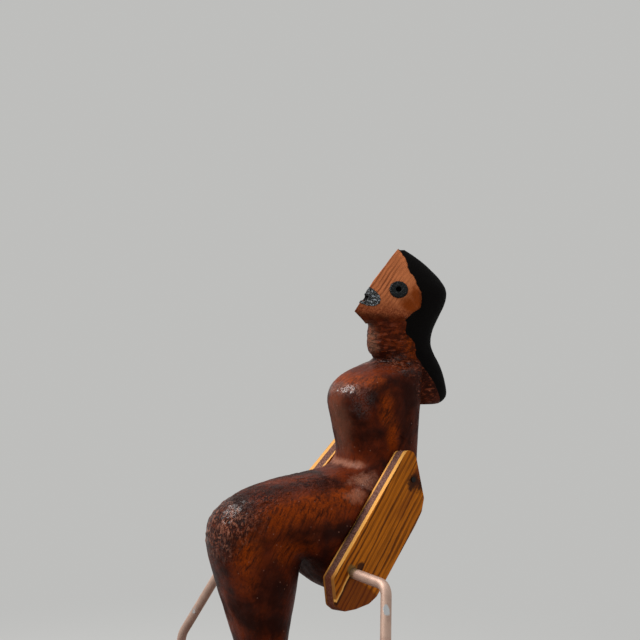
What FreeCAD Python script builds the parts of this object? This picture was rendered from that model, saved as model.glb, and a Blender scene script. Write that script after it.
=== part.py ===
import FreeCAD, Part
import math
import os
import re

import Sketcher

# A hand-cranked rocking figure: a carved seated nude rocks between two bent steel rods on a plywood box,
# and a crank in the box moves the feet through an off-centre disc and a link.
# Millimetres. The figure faces -Y, its left side and the crank are at +X, and Z = 0 is the table.

Vector = FreeCAD.Vector
Rotation = FreeCAD.Rotation
Placement = FreeCAD.Placement

# Longer than any piece that a cut goes through
BEYOND = 60.0

X_AXIS = Vector(1, 0, 0)
Y_AXIS = Vector(0, 1, 0)
Z_AXIS = Vector(0, 0, 1)

# Driving dimensions, in millimetres and degrees, with what each one measures
SIZES = {
    # Box
    "box_width": (162.0, "outer face to outer face of the two walls"),
    "box_depth": (100.0, "front edge to back edge of the walls"),
    "box_inner_height": (52.0, "base board to deck, inside"),
    "base_thick": (12.0, "base board"),
    "board_thick": (9.0, "walls and deck"),
    "base_overhang": (4.0, "base board past the walls, left and right"),
    "deck_overhang": (3.0, "deck past the walls, left and right"),
    "base_lip": (10.0, "base board past the walls, front and back"),
    "deck_lip": (6.0, "deck past the walls, front and back"),
    "edge_chamfer": (1.2, "broken edges of the boards"),
    "link_line": (4.0, "link and foot pins, in front of the shaft's vertical plane"),
    # Wood screws
    "screw_shank": (3.0, "diameter"),
    "screw_head": (6.0, "diameter"),
    "screw_length": (25.0, "overall"),
    "screw_recess": (0.3, "head below the board's surface"),
    "screw_row": (35.0, "front and back screws from the middle"),
    "drive_slot": (0.8, "width and depth of the screwdriver slot"),
    # Support rods
    "rod_thick": (3.2, "diameter of the rod"),
    "rod_stub": (16.8, "straight part outside the hip plate, to the elbow's corner"),
    "rod_tail": (5.0, "rod's end inside the hips"),
    "socket_room": (0.5, "socket past the rod's end"),
    "elbow_bend": (5.0, "bend radius of the rod's centre line at the elbow"),
    "rod_foot_bend": (9.0, "bend radius where the rod turns upright"),
    "rod_upright": (27.0, "height above the deck where the rod turns upright"),
    "rod_wall_gap": (9.5, "rod's upright end from the wall's inner face"),
    "rod_foot_back": (-2.2, "rod's upright end behind the shaft's vertical plane"),
    "rod_block_height": (14.0, "glue block under the deck"),
    "rod_block_depth": (24.0, "glue block, front to back"),
    "running_gap": (0.08, "radial clearance of the turning fits"),
    # Hip axis and figure
    "hip_back": (12.5, "hip axis behind the shaft's vertical plane"),
    "hip_half_width": (20.0, "hip plate's inner face from the middle, on the hip axis"),
    "sole_drop": (56.0, "soles below the hip axis"),
    "sole_clearance": (10.0, "soles above the deck"),
    "bust_width": (30.4, "across the chest"),
    "waist_width": (26.8, "across the waist"),
    "knee_width": (27.2, "across both knees"),
    "ankle_width": (18.4, "across both ankles"),
    "neck_width": (14.6, "across the neck"),
    "hair_width": (21.2, "across the hair"),
    "cheek_angle": (40.0, "each cheek from the middle plane, in degrees"),
    "foot_slot": (5.0, "gap between the feet"),
    "foot_slot_height": (18.5, "gap between the feet, above the soles"),
    "grid_square": (10.0, "square of the grid that the figure's sections are drawn on"),
    # Face
    "eye_width": (6.4, "lacquer ring, outer diameter"),
    "eye_pit": (1.9, "pit in the middle of the eye, diameter"),
    "eye_pit_depth": (1.2, "pit below the cheek"),
    "eye_thick": (0.6, "lacquer ring above the cheek"),
    "eye_down": (12.5, "eye below the head's apex, along the ridge"),
    "eye_back": (8.6, "eye behind the ridge, along the cheek"),
    "mouth_down": (5.7, "middle of the lips below the nose, along the ridge"),
    "mouth_width": (7.8, "lips, across"),
    "mouth_height": (6.5, "lips, along the ridge"),
    "mouth_thick": (0.25, "lips above the cheeks"),
    "mouth_front": (0.12, "lips in front of the ridge"),
    "mouth_opening": (1.25, "notch under the upper lip, behind the ridge"),
    "lower_lip_back": (0.6, "lower lip's outer end, behind the ridge"),
    "lower_lip_height": (2.2, "lower lip in the notch, along the ridge"),
    # Hip plates
    "plate_thick": (6.0, "three-ply strip"),
    "plate_width": (16.9, "strip"),
    "plate_length": (54.6, "strip, corner to corner along its front edge's line"),
    "plate_pitch_angle": (49.5, "front edge below the horizontal, in degrees"),
    "plate_lean_angle": (7.7, "lower end spread outwards, in degrees"),
    "plate_toe_angle": (2.4, "front edge turned inwards, in degrees"),
    "plate_hole_along": (42.7, "rod hole from the strip's upper end"),
    "plate_hole_across": (4.9, "rod hole from the strip's front edge"),
    "plate_round": (1.6, "rounding of the strip's corners"),
    "seat_margin": (4.0, "flat seat past the strip's upper end"),
    "seat_lead": (0.5, "flat seat in front of the strip's front edge"),
    "pin_thick": (1.7, "hip pin and ankle pin, diameter"),
    "pin_length": (15.0, "hip pin"),
    "pin_proud": (0.35, "hip pin's end above the plate"),
    "pin_along": (7.3, "hip pin from the strip's upper end"),
    "pin_across": (8.1, "hip pin from the strip's front edge"),
    # Crankshaft and eccentric
    "shaft_thick": (5.0, "diameter"),
    "shaft_end": (3.0, "shaft past the right wall"),
    "shaft_bevel": (0.6, "bevel at the shaft's ends"),
    "bush_outer": (8.0, "diameter of the bush in the wall"),
    "bush_flange": (12.0, "diameter of the bush's flange"),
    "bush_flange_thick": (1.0, "flange, inside the wall"),
    "collar_outer": (12.0, "diameter"),
    "collar_thick": (6.0, "along the shaft"),
    "side_play": (0.3, "gap beside each turning face"),
    "throw": (5.0, "disc's centre from the shaft's centre"),
    "disc_outer": (22.0, "eccentric disc, diameter"),
    "disc_thick": (4.6, "eccentric disc"),
    "cheek_outer": (30.0, "disc on each side of the link, diameter"),
    "cheek_thick": (3.0, "disc on each side of the link"),
    "disc_pin": (2.0, "pin through the three discs, diameter"),
    # Link
    "link_thick": (4.0, "plywood of the link"),
    "ring_outer": (32.0, "ring round the disc, diameter"),
    "link_width": (9.0, "bar"),
    "foot_pin_height": (5.0, "ankle pins above the soles"),
    "link_hole": (2.2, "hole in the link's upper end, diameter"),
    "pin_gap": (0.4, "ankle pin's inner end from the link's face"),
    "slot_clearance": (1.8, "link to the sides of the deck's slot"),
    "slot_length": (31.0, "deck's slot"),
    # Crank
    "crank_radius": (23.0, "handle's axis from the shaft's axis"),
    "arm_width": (15.0, "crank arm"),
    "arm_thick": (6.0, "crank arm"),
    "arm_corner": (4.5, "cut corners of the crank arm"),
    "arm_gap": (5.0, "crank arm's inner face from the wall"),
    "spacer_outer": (10.0, "spacer between wall and crank arm, diameter"),
    "arm_pin": (2.0, "cross pin through arm and shaft, diameter"),
    "spindle_thick": (4.0, "handle spindle, diameter"),
    "knob_outer": (15.0, "handle knob, diameter"),
    "knob_length": (24.0, "handle knob"),
    "washer_outer": (9.0, "washer under the knob, diameter"),
    "washer_thick": (0.8, "washer under the knob"),
    "cap_outer": (8.0, "cap on the spindle's end, diameter"),
    "cap_length": (5.0, "cap on the spindle's end"),
}

doc = FreeCAD.newDocument("RockingFigure")
sheet = doc.addObject("Spreadsheet::Sheet", "Sizes")
for row, (alias, (number, meaning)) in enumerate(SIZES.items(), start=1):
    sheet.set("A%d" % row, meaning)
    sheet.set("B%d" % row, str(number))
    sheet.setAlias("B%d" % row, alias)
doc.recompute()

# Every node of the object, in the order in which it is made
pieces = []


def size(alias):
    """One driving dimension as a number."""
    return float(sheet.get(alias))


def bound(text):
    """An expression on the sheet, from plain names of sizes."""
    return re.sub(r"[a-z][a-z_]+", lambda word: "Sizes." + word.group(0)
                  if word.group(0) in SIZES else word.group(0), text)


# Places that several pieces share, as expressions on the sheet
WALL_OUT = "(box_width / 2)"
WALL_IN = "(box_width / 2 - board_thick)"
SHAFT_UP = "(base_thick + box_inner_height / 2)"
DECK_UNDER = "(base_thick + box_inner_height)"
LINK_RISE = "(box_inner_height / 2 + board_thick + sole_clearance + foot_pin_height)"
ARM_IN = "(box_width / 2 + arm_gap)"
ARM_OUT = "(box_width / 2 + arm_gap + arm_thick)"
KNOB_IN = "(box_width / 2 + arm_gap + arm_thick + washer_thick + side_play)"
ROD_X = "(box_width / 2 - board_thick - rod_wall_gap)"

# The same places as numbers, for the pieces that aren't drawn in sketches
wall_in = size("box_width") / 2 - size("board_thick")
shaft_up = size("base_thick") + size("box_inner_height") / 2
deck_under = size("base_thick") + size("box_inner_height")
deck_top = deck_under + size("board_thick")
hip_up = deck_top + size("sole_clearance") + size("sole_drop")
hip = Vector(0, size("hip_back"), hip_up)
foot_pin_up = deck_top + size("sole_clearance") + size("foot_pin_height")
link_y = -size("link_line")
running_hole = size("rod_thick") / 2 + size("running_gap")


def new_body(label):
    """A piece that is drawn in sketches and features."""
    body = doc.addObject("PartDesign::Body", label)
    body.Label = label
    pieces.append(body)
    return body


def place(item, x="0", y="0", z="0"):
    """Stand a piece at a point given by sizes."""
    for axis, text in (("x", x), ("y", y), ("z", z)):
        item.setExpression("Placement.Base." + axis, bound(text))


def sketch(body, role, lift="0"):
    """An empty sketch on one of the body's own planes, lifted along the plane's normal."""
    plane = [f for f in body.Origin.OriginFeatures if f.Role == role][0]
    made = body.newObject("Sketcher::SketchObject", body.Label + "_sketch")
    made.AttachmentSupport = [(plane, "")]
    made.MapMode = "FlatFace"
    made.setExpression("AttachmentOffset.Base.z", bound(lift))
    return made


def tie(made, kind, geometry, point, text):
    """Hold one point of a sketch at a distance from its origin that follows the sizes."""
    count = made.addConstraint(Sketcher.Constraint(kind, -1, 1, geometry, point, 1.0))
    made.setExpression("Constraints[%d]" % count, bound(text))


def outline(made, corners):
    """A closed outline through corners, each a pair of expressions."""
    start = made.GeometryCount
    many = len(corners)
    for k in range(many):
        here = Vector(math.cos(2 * math.pi * k / many), math.sin(2 * math.pi * k / many), 0)
        there = Vector(math.cos(2 * math.pi * (k + 1) / many), math.sin(2 * math.pi * (k + 1) / many), 0)
        made.addGeometry(Part.LineSegment(here, there))
    for k in range(many):
        made.addConstraint(Sketcher.Constraint("Coincident", start + k, 2, start + (k + 1) % many, 1))
    for k, (across, up) in enumerate(corners):
        tie(made, "DistanceX", start + k, 1, across)
        tie(made, "DistanceY", start + k, 1, up)


def rectangle(made, left, right, bottom, top):
    """A rectangle between four expressions."""
    outline(made, [(left, bottom), (right, bottom), (right, top), (left, top)])


def circle(made, across, up, diameter):
    """A circle, all of whose values follow the sizes."""
    index = made.addGeometry(Part.Circle(Vector(0, 0, 0), Z_AXIS, 1.0))
    tie(made, "DistanceX", index, 3, across)
    tie(made, "DistanceY", index, 3, up)
    count = made.addConstraint(Sketcher.Constraint("Diameter", index, 2.0))
    made.setExpression("Constraints[%d]" % count, bound(diameter))


def pad(body, made, length, both_ways=False):
    """Raise a sketch into a solid."""
    feature = body.newObject("PartDesign::Pad", body.Label + "_pad")
    feature.Profile = made
    feature.SideType = "Symmetric" if both_ways else "One side"
    feature.setExpression("Length", bound(length))
    doc.recompute()
    return feature


def cut_through(body, made):
    """Cut a sketch right through the body, both ways, and make sure that it took something away."""
    before = body.Shape.Volume
    feature = body.newObject("PartDesign::Pocket", body.Label + "_cut")
    feature.Profile = made
    feature.Type = "ThroughAll"
    feature.SideType = "Symmetric"
    doc.recompute()
    if body.Shape.Volume >= before - 0.01:
        raise RuntimeError("cut without effect in " + body.Label)
    return feature


def turn(body, made, role="X_Axis"):
    """Turn a half profile a full round about one of the body's own axes."""
    axis = [f for f in body.Origin.OriginFeatures if f.Role == role][0]
    feature = body.newObject("PartDesign::Revolution", body.Label + "_turned")
    feature.Profile = made
    feature.ReferenceAxis = (axis, [""])
    feature.Angle = 360.0
    doc.recompute()
    return feature


def edges_along(shape, direction, at_corner=None):
    """Names of the straight edges of a shape that run along a direction."""
    names = []
    for index, edge in enumerate(shape.Edges, start=1):
        straight = edge.Curve.TypeId == "Part::GeomLine"
        if straight and abs(edge.tangentAt(edge.FirstParameter).dot(direction)) > 0.999:
            if at_corner is None or at_corner(edge.CenterOfMass):
                names.append("Edge%d" % index)
    return names


def rounded(body, base, names, radius):
    """Round the named edges of a feature."""
    feature = body.newObject("PartDesign::Fillet", body.Label + "_round")
    feature.Base = (base, names)
    feature.setExpression("Radius", bound(radius))
    doc.recompute()
    return feature


def bevelled(body, base, names, width):
    """Break the named edges of a feature."""
    feature = body.newObject("PartDesign::Chamfer", body.Label + "_bevel")
    feature.Base = (base, names)
    feature.setExpression("Size", bound(width))
    doc.recompute()
    return feature


def shaped(label, shape):
    """A piece whose form no sketch gives."""
    feature = doc.addObject("Part::Feature", label)
    feature.Label = label
    feature.Shape = shape
    pieces.append(feature)
    return feature


def rod_between(start, end, diameter):
    """A plain round bar from one point to another."""
    return Part.makeCylinder(diameter / 2, (end - start).Length, start, end - start)


# Box


def top_edges(shape):
    """Names of the long edges round a board's upper face."""
    level = shape.BoundBox.ZMax

    def at_top(point):
        return abs(point.z - level) < 0.01

    return edges_along(shape, X_AXIS, at_top) + edges_along(shape, Y_AXIS, at_top)


def screw_places():
    """Feet of the wood screws: where each one starts and the way that it points."""
    column = size("box_width") / 2 - size("board_thick") / 2
    spots = []
    for x in (-column, column):
        for y in (-size("screw_row"), size("screw_row")):
            spots.append((Vector(x, y, 0), Z_AXIS))
            spots.append((Vector(x, y, deck_top), -Z_AXIS))
    return spots


def screw_solid(start, way, slotted):
    """A countersunk screw that points along way; the plain one is the hole that it fills."""
    head = size("screw_head") / 2
    shank = size("screw_shank") / 2
    sunk = start + way * size("screw_recess")
    taper = Part.makeCone(head, shank, head - shank, sunk, way)
    shaft = Part.makeCylinder(shank, size("screw_length") - size("screw_recess"), sunk, way)
    solid = taper.fuse(shaft).removeSplitter()
    if slotted:
        slot = size("drive_slot")
        bar = Part.makeBox(2.2 * head, slot, slot, Vector(-1.1 * head, -slot / 2, 0))
        bar.Placement = Placement(sunk, Rotation(Z_AXIS, way))
        return solid.cut(bar)
    mouth = Part.makeCylinder(head, size("screw_recess"), start, way)
    return solid.fuse(mouth).removeSplitter()


def drilled(label, board, drills):
    """A board with screw holes and rod holes taken out of it."""
    tools = doc.addObject("Part::Feature", label + "_drills")
    tools.Shape = Part.makeCompound(drills)
    made = doc.addObject("Part::Cut", label)
    made.Label = label
    made.Base = board
    made.Tool = tools
    doc.recompute()
    pieces.append(made)
    return made


def blank_body(label):
    """A body that is drilled later, so it isn't a node itself."""
    body = doc.addObject("PartDesign::Body", label + "_blank")
    return body


screw_holes = [screw_solid(start, way, False) for start, way in screw_places()]
base_holes = [hole for hole, (start, way) in zip(screw_holes, screw_places()) if way.z > 0]
deck_holes = [hole for hole, (start, way) in zip(screw_holes, screw_places()) if way.z < 0]

base = blank_body("base_board")
drawn = sketch(base, "XY_Plane")
rectangle(drawn, "-(box_width / 2 + base_overhang)", "box_width / 2 + base_overhang",
          "-(box_depth / 2 + base_lip)", "box_depth / 2 + base_lip")
board = pad(base, drawn, "base_thick")
bevelled(base, board, top_edges(board.Shape), "edge_chamfer")
drilled("base_board", base, base_holes)

deck = blank_body("top_board")
drawn = sketch(deck, "XY_Plane")
rectangle(drawn, "-(box_width / 2 + deck_overhang)", "box_width / 2 + deck_overhang",
          "-(box_depth / 2 + deck_lip)", "box_depth / 2 + deck_lip")
board = pad(deck, drawn, "board_thick")
bevelled(deck, board, top_edges(board.Shape), "edge_chamfer")
drawn = sketch(deck, "XY_Plane")
rectangle(drawn, "-(link_thick / 2 + slot_clearance)", "link_thick / 2 + slot_clearance",
          "-link_line - slot_length / 2", "-link_line + slot_length / 2")
cut_through(deck, drawn)
for side in ("-", ""):
    drawn = sketch(deck, "XY_Plane")
    circle(drawn, side + ROD_X, "rod_foot_back", "rod_thick")
    cut_through(deck, drawn)
place(deck, z=DECK_UNDER)
doc.recompute()
drilled("top_board", deck, deck_holes)

for label, side in (("side_board_left", ""), ("side_board_right", "-")):
    wall = blank_body(label)
    drawn = sketch(wall, "YZ_Plane")
    rectangle(drawn, "-box_depth / 2", "box_depth / 2", "0", "box_inner_height")
    pad(wall, drawn, "board_thick", both_ways=True)
    drawn = sketch(wall, "YZ_Plane")
    circle(drawn, "0", "box_inner_height / 2", "bush_outer")
    cut_through(wall, drawn)
    place(wall, x=side + "(box_width / 2 - board_thick / 2)", z="base_thick")
    doc.recompute()
    drilled(label, wall, screw_holes)

for label, side in (("rod_block_left", ""), ("rod_block_right", "-")):
    block = new_body(label)
    drawn = sketch(block, "XY_Plane")
    rectangle(drawn, "-rod_wall_gap", "rod_wall_gap", "-rod_block_depth / 2", "rod_block_depth / 2")
    pad(block, drawn, "rod_block_height")
    drawn = sketch(block, "XY_Plane")
    circle(drawn, "0", "0", "rod_thick")
    cut_through(block, drawn)
    place(block, side + ROD_X, "rod_foot_back", DECK_UNDER + " - rod_block_height")

shaped("box_screws", Part.makeCompound([screw_solid(start, way, True) for start, way in screw_places()]))

# Crankshaft, bushes and collars

bush_bore = "(shaft_thick / 2 + running_gap)"
for label, side in (("shaft_bush_left", 1), ("shaft_bush_right", -1)):
    bush = new_body(label)
    drawn = sketch(bush, "XY_Plane")
    outline(drawn, [("-bush_flange_thick", bush_bore), ("board_thick", bush_bore),
                    ("board_thick", "bush_outer / 2"), ("0", "bush_outer / 2"),
                    ("0", "bush_flange / 2"), ("-bush_flange_thick", "bush_flange / 2")])
    turn(bush, drawn)
    bush.Placement = Placement(Vector(), Rotation(Z_AXIS, 0 if side > 0 else 180))
    place(bush, ("" if side > 0 else "-") + WALL_IN, z=SHAFT_UP)

shaft_start = "(-box_width / 2 - shaft_end)"
shaft = new_body("crankshaft")
drawn = sketch(shaft, "XY_Plane")
outline(drawn, [(shaft_start, "0"), (shaft_start, "shaft_thick / 2 - shaft_bevel"),
                (shaft_start + " + shaft_bevel", "shaft_thick / 2"),
                (ARM_OUT + " - shaft_bevel", "shaft_thick / 2"),
                (ARM_OUT, "shaft_thick / 2 - shaft_bevel"), (ARM_OUT, "0")])
turn(shaft, drawn)
drawn = sketch(shaft, "XZ_Plane")
circle(drawn, "box_width / 2 + arm_gap + arm_thick / 2", "0", "arm_pin")
cut_through(shaft, drawn)
place(shaft, z=SHAFT_UP)

collar_x = wall_in - size("bush_flange_thick") - size("side_play") - size("collar_thick") / 2
screw_thread = size("collar_thick") / 2
for label, side in (("shaft_collar_left", ""), ("shaft_collar_right", "-")):
    collar = new_body(label)
    drawn = sketch(collar, "YZ_Plane")
    circle(drawn, "0", "0", "collar_outer")
    circle(drawn, "0", "0", "shaft_thick")
    pad(collar, drawn, "collar_thick", both_ways=True)
    drawn = sketch(collar, "XY_Plane")
    circle(drawn, "0", "0", "collar_thick / 2")
    hole = collar.newObject("PartDesign::Pocket", label + "_set_screw_hole")
    hole.Profile = drawn
    hole.Type = "ThroughAll"
    hole.Reversed = True
    place(collar, side + "(box_width / 2 - board_thick - bush_flange_thick - side_play - collar_thick / 2)",
          z=SHAFT_UP)
    doc.recompute()


def set_screw(x):
    """A set screw that stands on the shaft, with a slot in its outer end."""
    foot = Vector(x, 0, shaft_up + size("shaft_thick") / 2)
    length = (size("collar_outer") - size("shaft_thick")) / 2 - size("screw_recess")
    slot = size("drive_slot")
    solid = Part.makeCylinder(screw_thread / 2, length, foot, Z_AXIS)
    wide = 1.2 * screw_thread
    return solid.cut(Part.makeBox(wide, slot, slot, Vector(x - wide / 2, -slot / 2, foot.z + length - slot)))


shaped("collar_screws", Part.makeCompound([set_screw(x) for x in (-collar_x, collar_x)]))

# Eccentric: a disc off the shaft's centre, between two larger discs


def disc(label, diameter, thick, middle):
    """One disc of the eccentric, bored for the shaft and the two pins."""
    body = new_body(label)
    drawn = sketch(body, "YZ_Plane")
    circle(drawn, "-throw", "0", diameter)
    pad(body, drawn, thick, both_ways=True)
    drawn = sketch(body, "YZ_Plane")
    circle(drawn, "0", "0", "shaft_thick")
    for up in ("-", ""):
        circle(drawn, "-throw", up + "disc_outer / 3", "disc_pin")
    cut_through(body, drawn)
    place(body, x=middle, z=SHAFT_UP)
    return body


disc("eccentric_disc", "disc_outer", "disc_thick", "0")
disc("eccentric_cheek_left", "cheek_outer", "cheek_thick", "(disc_thick + cheek_thick) / 2")
disc("eccentric_cheek_right", "cheek_outer", "cheek_thick", "-(disc_thick + cheek_thick) / 2")

pin_reach = size("disc_thick") / 2 + size("cheek_thick")
pin_rows = (shaft_up - size("disc_outer") / 3, shaft_up + size("disc_outer") / 3)
shaped("eccentric_pins", Part.makeCompound([
    rod_between(Vector(-pin_reach, -size("throw"), z), Vector(pin_reach, -size("throw"), z), size("disc_pin"))
    for z in pin_rows]))

# Link from the eccentric up through the deck to the feet

link = new_body("connecting_link")
drawn = sketch(link, "YZ_Plane")
circle(drawn, "0", "0", "ring_outer")
pad(link, drawn, "link_thick", both_ways=True)
drawn = sketch(link, "YZ_Plane")
ring_middle = "(disc_outer + ring_outer) / 4"
outline(drawn, [("-link_width / 2", ring_middle), ("link_width / 2", ring_middle),
                ("throw - link_line + link_width / 2", LINK_RISE),
                ("throw - link_line - link_width / 2", LINK_RISE)])
pad(link, drawn, "link_thick", both_ways=True)
drawn = sketch(link, "YZ_Plane")
circle(drawn, "throw - link_line", LINK_RISE, "link_width")
pad(link, drawn, "link_thick", both_ways=True)
drawn = sketch(link, "YZ_Plane")
circle(drawn, "0", "0", "disc_outer + 4 * running_gap")
circle(drawn, "throw - link_line", LINK_RISE, "link_hole")
cut_through(link, drawn)
place(link, y="-throw", z=SHAFT_UP)

# Crank arm, spindle and knob

spacer = new_body("crank_spacer")
drawn = sketch(spacer, "YZ_Plane")
circle(drawn, "0", "0", "spacer_outer")
circle(drawn, "0", "0", "shaft_thick")
pad(spacer, drawn, "arm_gap - side_play")
place(spacer, WALL_OUT + " + side_play", z=SHAFT_UP)

half = "arm_width / 2"
reach = "(crank_radius + arm_width / 2)"
arm = new_body("crank_arm")
drawn = sketch(arm, "YZ_Plane")
outline(drawn, [("-" + half + " + arm_corner", half), ("-" + half, half + " - arm_corner"),
                ("-" + half, "-" + reach + " + arm_corner"), ("-" + half + " + arm_corner", "-" + reach),
                (half + " - arm_corner", "-" + reach), (half, "-" + reach + " + arm_corner"),
                (half, half + " - arm_corner"), (half + " - arm_corner", half)])
board = pad(arm, drawn, "arm_thick")
rounded(arm, board, edges_along(board.Shape, X_AXIS), "arm_corner / 3")
drawn = sketch(arm, "YZ_Plane")
circle(drawn, "0", "0", "shaft_thick")
circle(drawn, "0", "-crank_radius", "spindle_thick")
cut_through(arm, drawn)
drawn = sketch(arm, "XZ_Plane")
circle(drawn, "arm_thick / 2", "0", "arm_pin")
cut_through(arm, drawn)
place(arm, ARM_IN, z=SHAFT_UP)

pin = new_body("crank_arm_pin")
drawn = sketch(pin, "XZ_Plane")
circle(drawn, "0", "0", "arm_pin")
pad(pin, drawn, "arm_width", both_ways=True)
place(pin, ARM_IN + " + arm_thick / 2", z=SHAFT_UP)

spindle_up = SHAFT_UP + " - crank_radius"
spindle = new_body("handle_spindle")
drawn = sketch(spindle, "YZ_Plane")
circle(drawn, "0", "0", "spindle_thick")
pad(spindle, drawn, "arm_thick + washer_thick + 2 * side_play + knob_length + cap_length / 2")
place(spindle, ARM_IN, z=spindle_up)

washer = new_body("handle_washer")
drawn = sketch(washer, "YZ_Plane")
circle(drawn, "0", "0", "washer_outer")
circle(drawn, "0", "0", "spindle_thick")
pad(washer, drawn, "washer_thick")
place(washer, ARM_OUT, z=spindle_up)

# Turned knob: a shoulder, a waist and a round end
knob_bore = "(spindle_thick / 2 + running_gap)"
knob = new_body("handle_knob")
drawn = sketch(knob, "XY_Plane")
outline(drawn, [("0", knob_bore), ("knob_length", knob_bore), ("knob_length", "knob_outer * 0.27"),
                ("knob_length * 0.93", "knob_outer * 0.43"), ("knob_length * 0.72", "knob_outer * 0.5"),
                ("knob_length * 0.45", "knob_outer * 0.44"), ("knob_length * 0.18", "knob_outer * 0.35"),
                ("knob_length * 0.12", "knob_outer * 0.38"), ("0", "knob_outer * 0.38")])
turned = turn(knob, drawn)
rims = [k for k, e in enumerate(turned.Shape.Edges, start=1)
        if e.Curve.TypeId == "Part::GeomCircle" and e.Curve.Radius > 0.42 * size("knob_outer")]
rounded(knob, turned, ["Edge%d" % k for k in rims], "knob_length * 0.05")
place(knob, KNOB_IN, z=spindle_up)

cap = new_body("handle_cap")
drawn = sketch(cap, "XY_Plane")
outline(drawn, [("0", "spindle_thick / 2"), ("cap_length / 2", "spindle_thick / 2"), ("cap_length / 2", "0"),
                ("cap_length", "0"), ("cap_length", "cap_outer / 4"), ("cap_length * 0.7", "cap_outer * 0.42"),
                ("cap_length * 0.35", "cap_outer / 2"), ("0", "cap_outer / 2")])
turn(cap, drawn)
place(cap, KNOB_IN + " + knob_length + side_play", z=spindle_up)

# Hip plates: the same strip on both sides, leaning outwards at its lower end and turned in at its front

pitch = math.radians(size("plate_pitch_angle"))
plate_along = Vector(0, -math.cos(pitch), -math.sin(pitch))
spread = Rotation(Z_AXIS, size("plate_toe_angle")).multiply(Rotation(Y_AXIS, -size("plate_lean_angle")))


class Strip:
    """Where a hip plate lies: its own directions and points on its inner face."""

    def __init__(self, side):
        mirror = Vector(side, 1, 1)

        def mirrored(vector):
            return Vector(vector.x * mirror.x, vector.y, vector.z)

        self.side = side
        self.normal = mirrored(spread.multVec(X_AXIS))
        self.along = mirrored(spread.multVec(plate_along))
        self.across = mirrored(spread.multVec(X_AXIS.cross(plate_along)))
        self.axis_point = hip + X_AXIS * (side * size("hip_half_width"))

    def point(self, along, across, out=0.0):
        """A point by its distances from the strip's upper end, its front edge and its inner face."""
        return (self.axis_point + self.along * (along - size("plate_hole_along"))
                + self.across * (across - size("plate_hole_across")) + self.normal * out)

    def frame(self):
        """The turn that takes a drawing's X, Y and Z to along, across and out."""
        out = self.along.cross(self.across)
        return Rotation(self.along, self.across, out, "ZXY"), out.dot(self.normal)


strips = {"left": Strip(1), "right": Strip(-1)}

# Cut ends of the strip, as distances from its upper end and from its front edge
PLATE_CORNERS = [("plate_width * 0.05", "plate_width * 0.06"), ("0", "plate_width * 0.2"),
                 ("plate_width * 0.055", "plate_width * 0.325"), ("plate_width * 0.56", "plate_width * 0.89"),
                 ("plate_width * 0.8", "plate_width * 0.985"), ("plate_width * 1.1", "plate_width"),
                 ("plate_length - plate_width * 0.6", "plate_width * 0.975"),
                 ("plate_length - plate_width * 0.4", "plate_width * 0.9"),
                 ("plate_length - plate_width * 0.17", "plate_width * 0.705"),
                 ("plate_length", "plate_width * 0.51"), ("plate_length", "plate_width * 0.33"),
                 ("plate_length - plate_width * 0.36", "0")]

for name, strip in strips.items():
    label = "hip_plate_" + name
    turned, facing = strip.frame()
    blank = blank_body(label)
    drawn = sketch(blank, "XY_Plane")
    outline(drawn, PLATE_CORNERS)
    board = blank.newObject("PartDesign::Pad", label + "_pad")
    board.Profile = drawn
    board.Reversed = facing < 0
    board.setExpression("Length", bound("plate_thick"))
    doc.recompute()
    rounded(blank, board, edges_along(board.Shape, Z_AXIS), "plate_round")
    blank.Placement = Placement(strip.point(0, 0), turned)
    doc.recompute()
    holes = [rod_between(hip, hip + X_AXIS * (strip.side * BEYOND), 2 * running_hole),
             rod_between(strip.point(size("pin_along"), size("pin_across"), -BEYOND),
                         strip.point(size("pin_along"), size("pin_across"), BEYOND), size("pin_thick"))]
    drilled(label, blank, holes)


def hip_pin(strip):
    """The pin that holds a plate's upper end, a little proud of the plate."""
    out = size("plate_thick") + size("pin_proud")
    end = strip.point(size("pin_along"), size("pin_across"), out)
    start = strip.point(size("pin_along"), size("pin_across"), out - size("pin_length"))
    return rod_between(start, end, size("pin_thick"))


hip_pins = [hip_pin(strip) for strip in strips.values()]
shaped("hip_plate_pins", Part.makeCompound(hip_pins))

# Support rods: along the hip axis, an elbow, splayed outwards and forwards, then upright into the deck


def bent_path(points, radii):
    """Straight runs joined by tangent arcs of the given radii."""
    runs = []
    start = points[0]
    for k, radius in enumerate(radii, start=1):
        corner = points[k]
        back = (points[k - 1] - corner).normalize()
        ahead = (points[k + 1] - corner).normalize()
        half_angle = back.getAngle(ahead) / 2
        inset = radius / math.tan(half_angle)
        middle = (back + ahead).normalize()
        top = corner + middle * (radius / math.sin(half_angle) - radius)
        runs.append(Part.LineSegment(start, corner + back * inset).toShape())
        runs.append(Part.Arc(corner + back * inset, top, corner + ahead * inset).toShape())
        start = corner + ahead * inset
    runs.append(Part.LineSegment(start, points[-1]).toShape())
    return Part.Wire(runs)


plate_face = size("hip_half_width") + size("plate_thick") / strips["left"].normal.x
rod_x = wall_in - size("rod_wall_gap")
for name, strip in strips.items():
    side = strip.side
    start = hip + X_AXIS * (side * (size("hip_half_width") - size("rod_tail")))
    elbow = hip + X_AXIS * (side * (plate_face + size("rod_stub")))
    foot = Vector(side * rod_x, size("rod_foot_back"), deck_top + size("rod_upright"))
    end = Vector(side * rod_x, size("rod_foot_back"), deck_under - size("rod_block_height"))
    path = bent_path([start, elbow, foot, end], [size("elbow_bend"), size("rod_foot_bend")])
    ring = Part.Wire(Part.makeCircle(size("rod_thick") / 2, start, X_AXIS * side))
    shaped("support_rod_" + name, path.makePipeShell([ring], True, False))

# Carved figure: a body carved in one sweep from neck to soles, a wedge for the face and a mass of hair


# The carving is drawn on a grid, ten divisions to a square, counted behind and above the hip axis
division = size("grid_square") / 10


def drawn_at(back, up):
    """A point of the middle plane from its place on the carver's grid."""
    return hip + Vector(0, back * division, up * division)


RING_STEPS = 16
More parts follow.
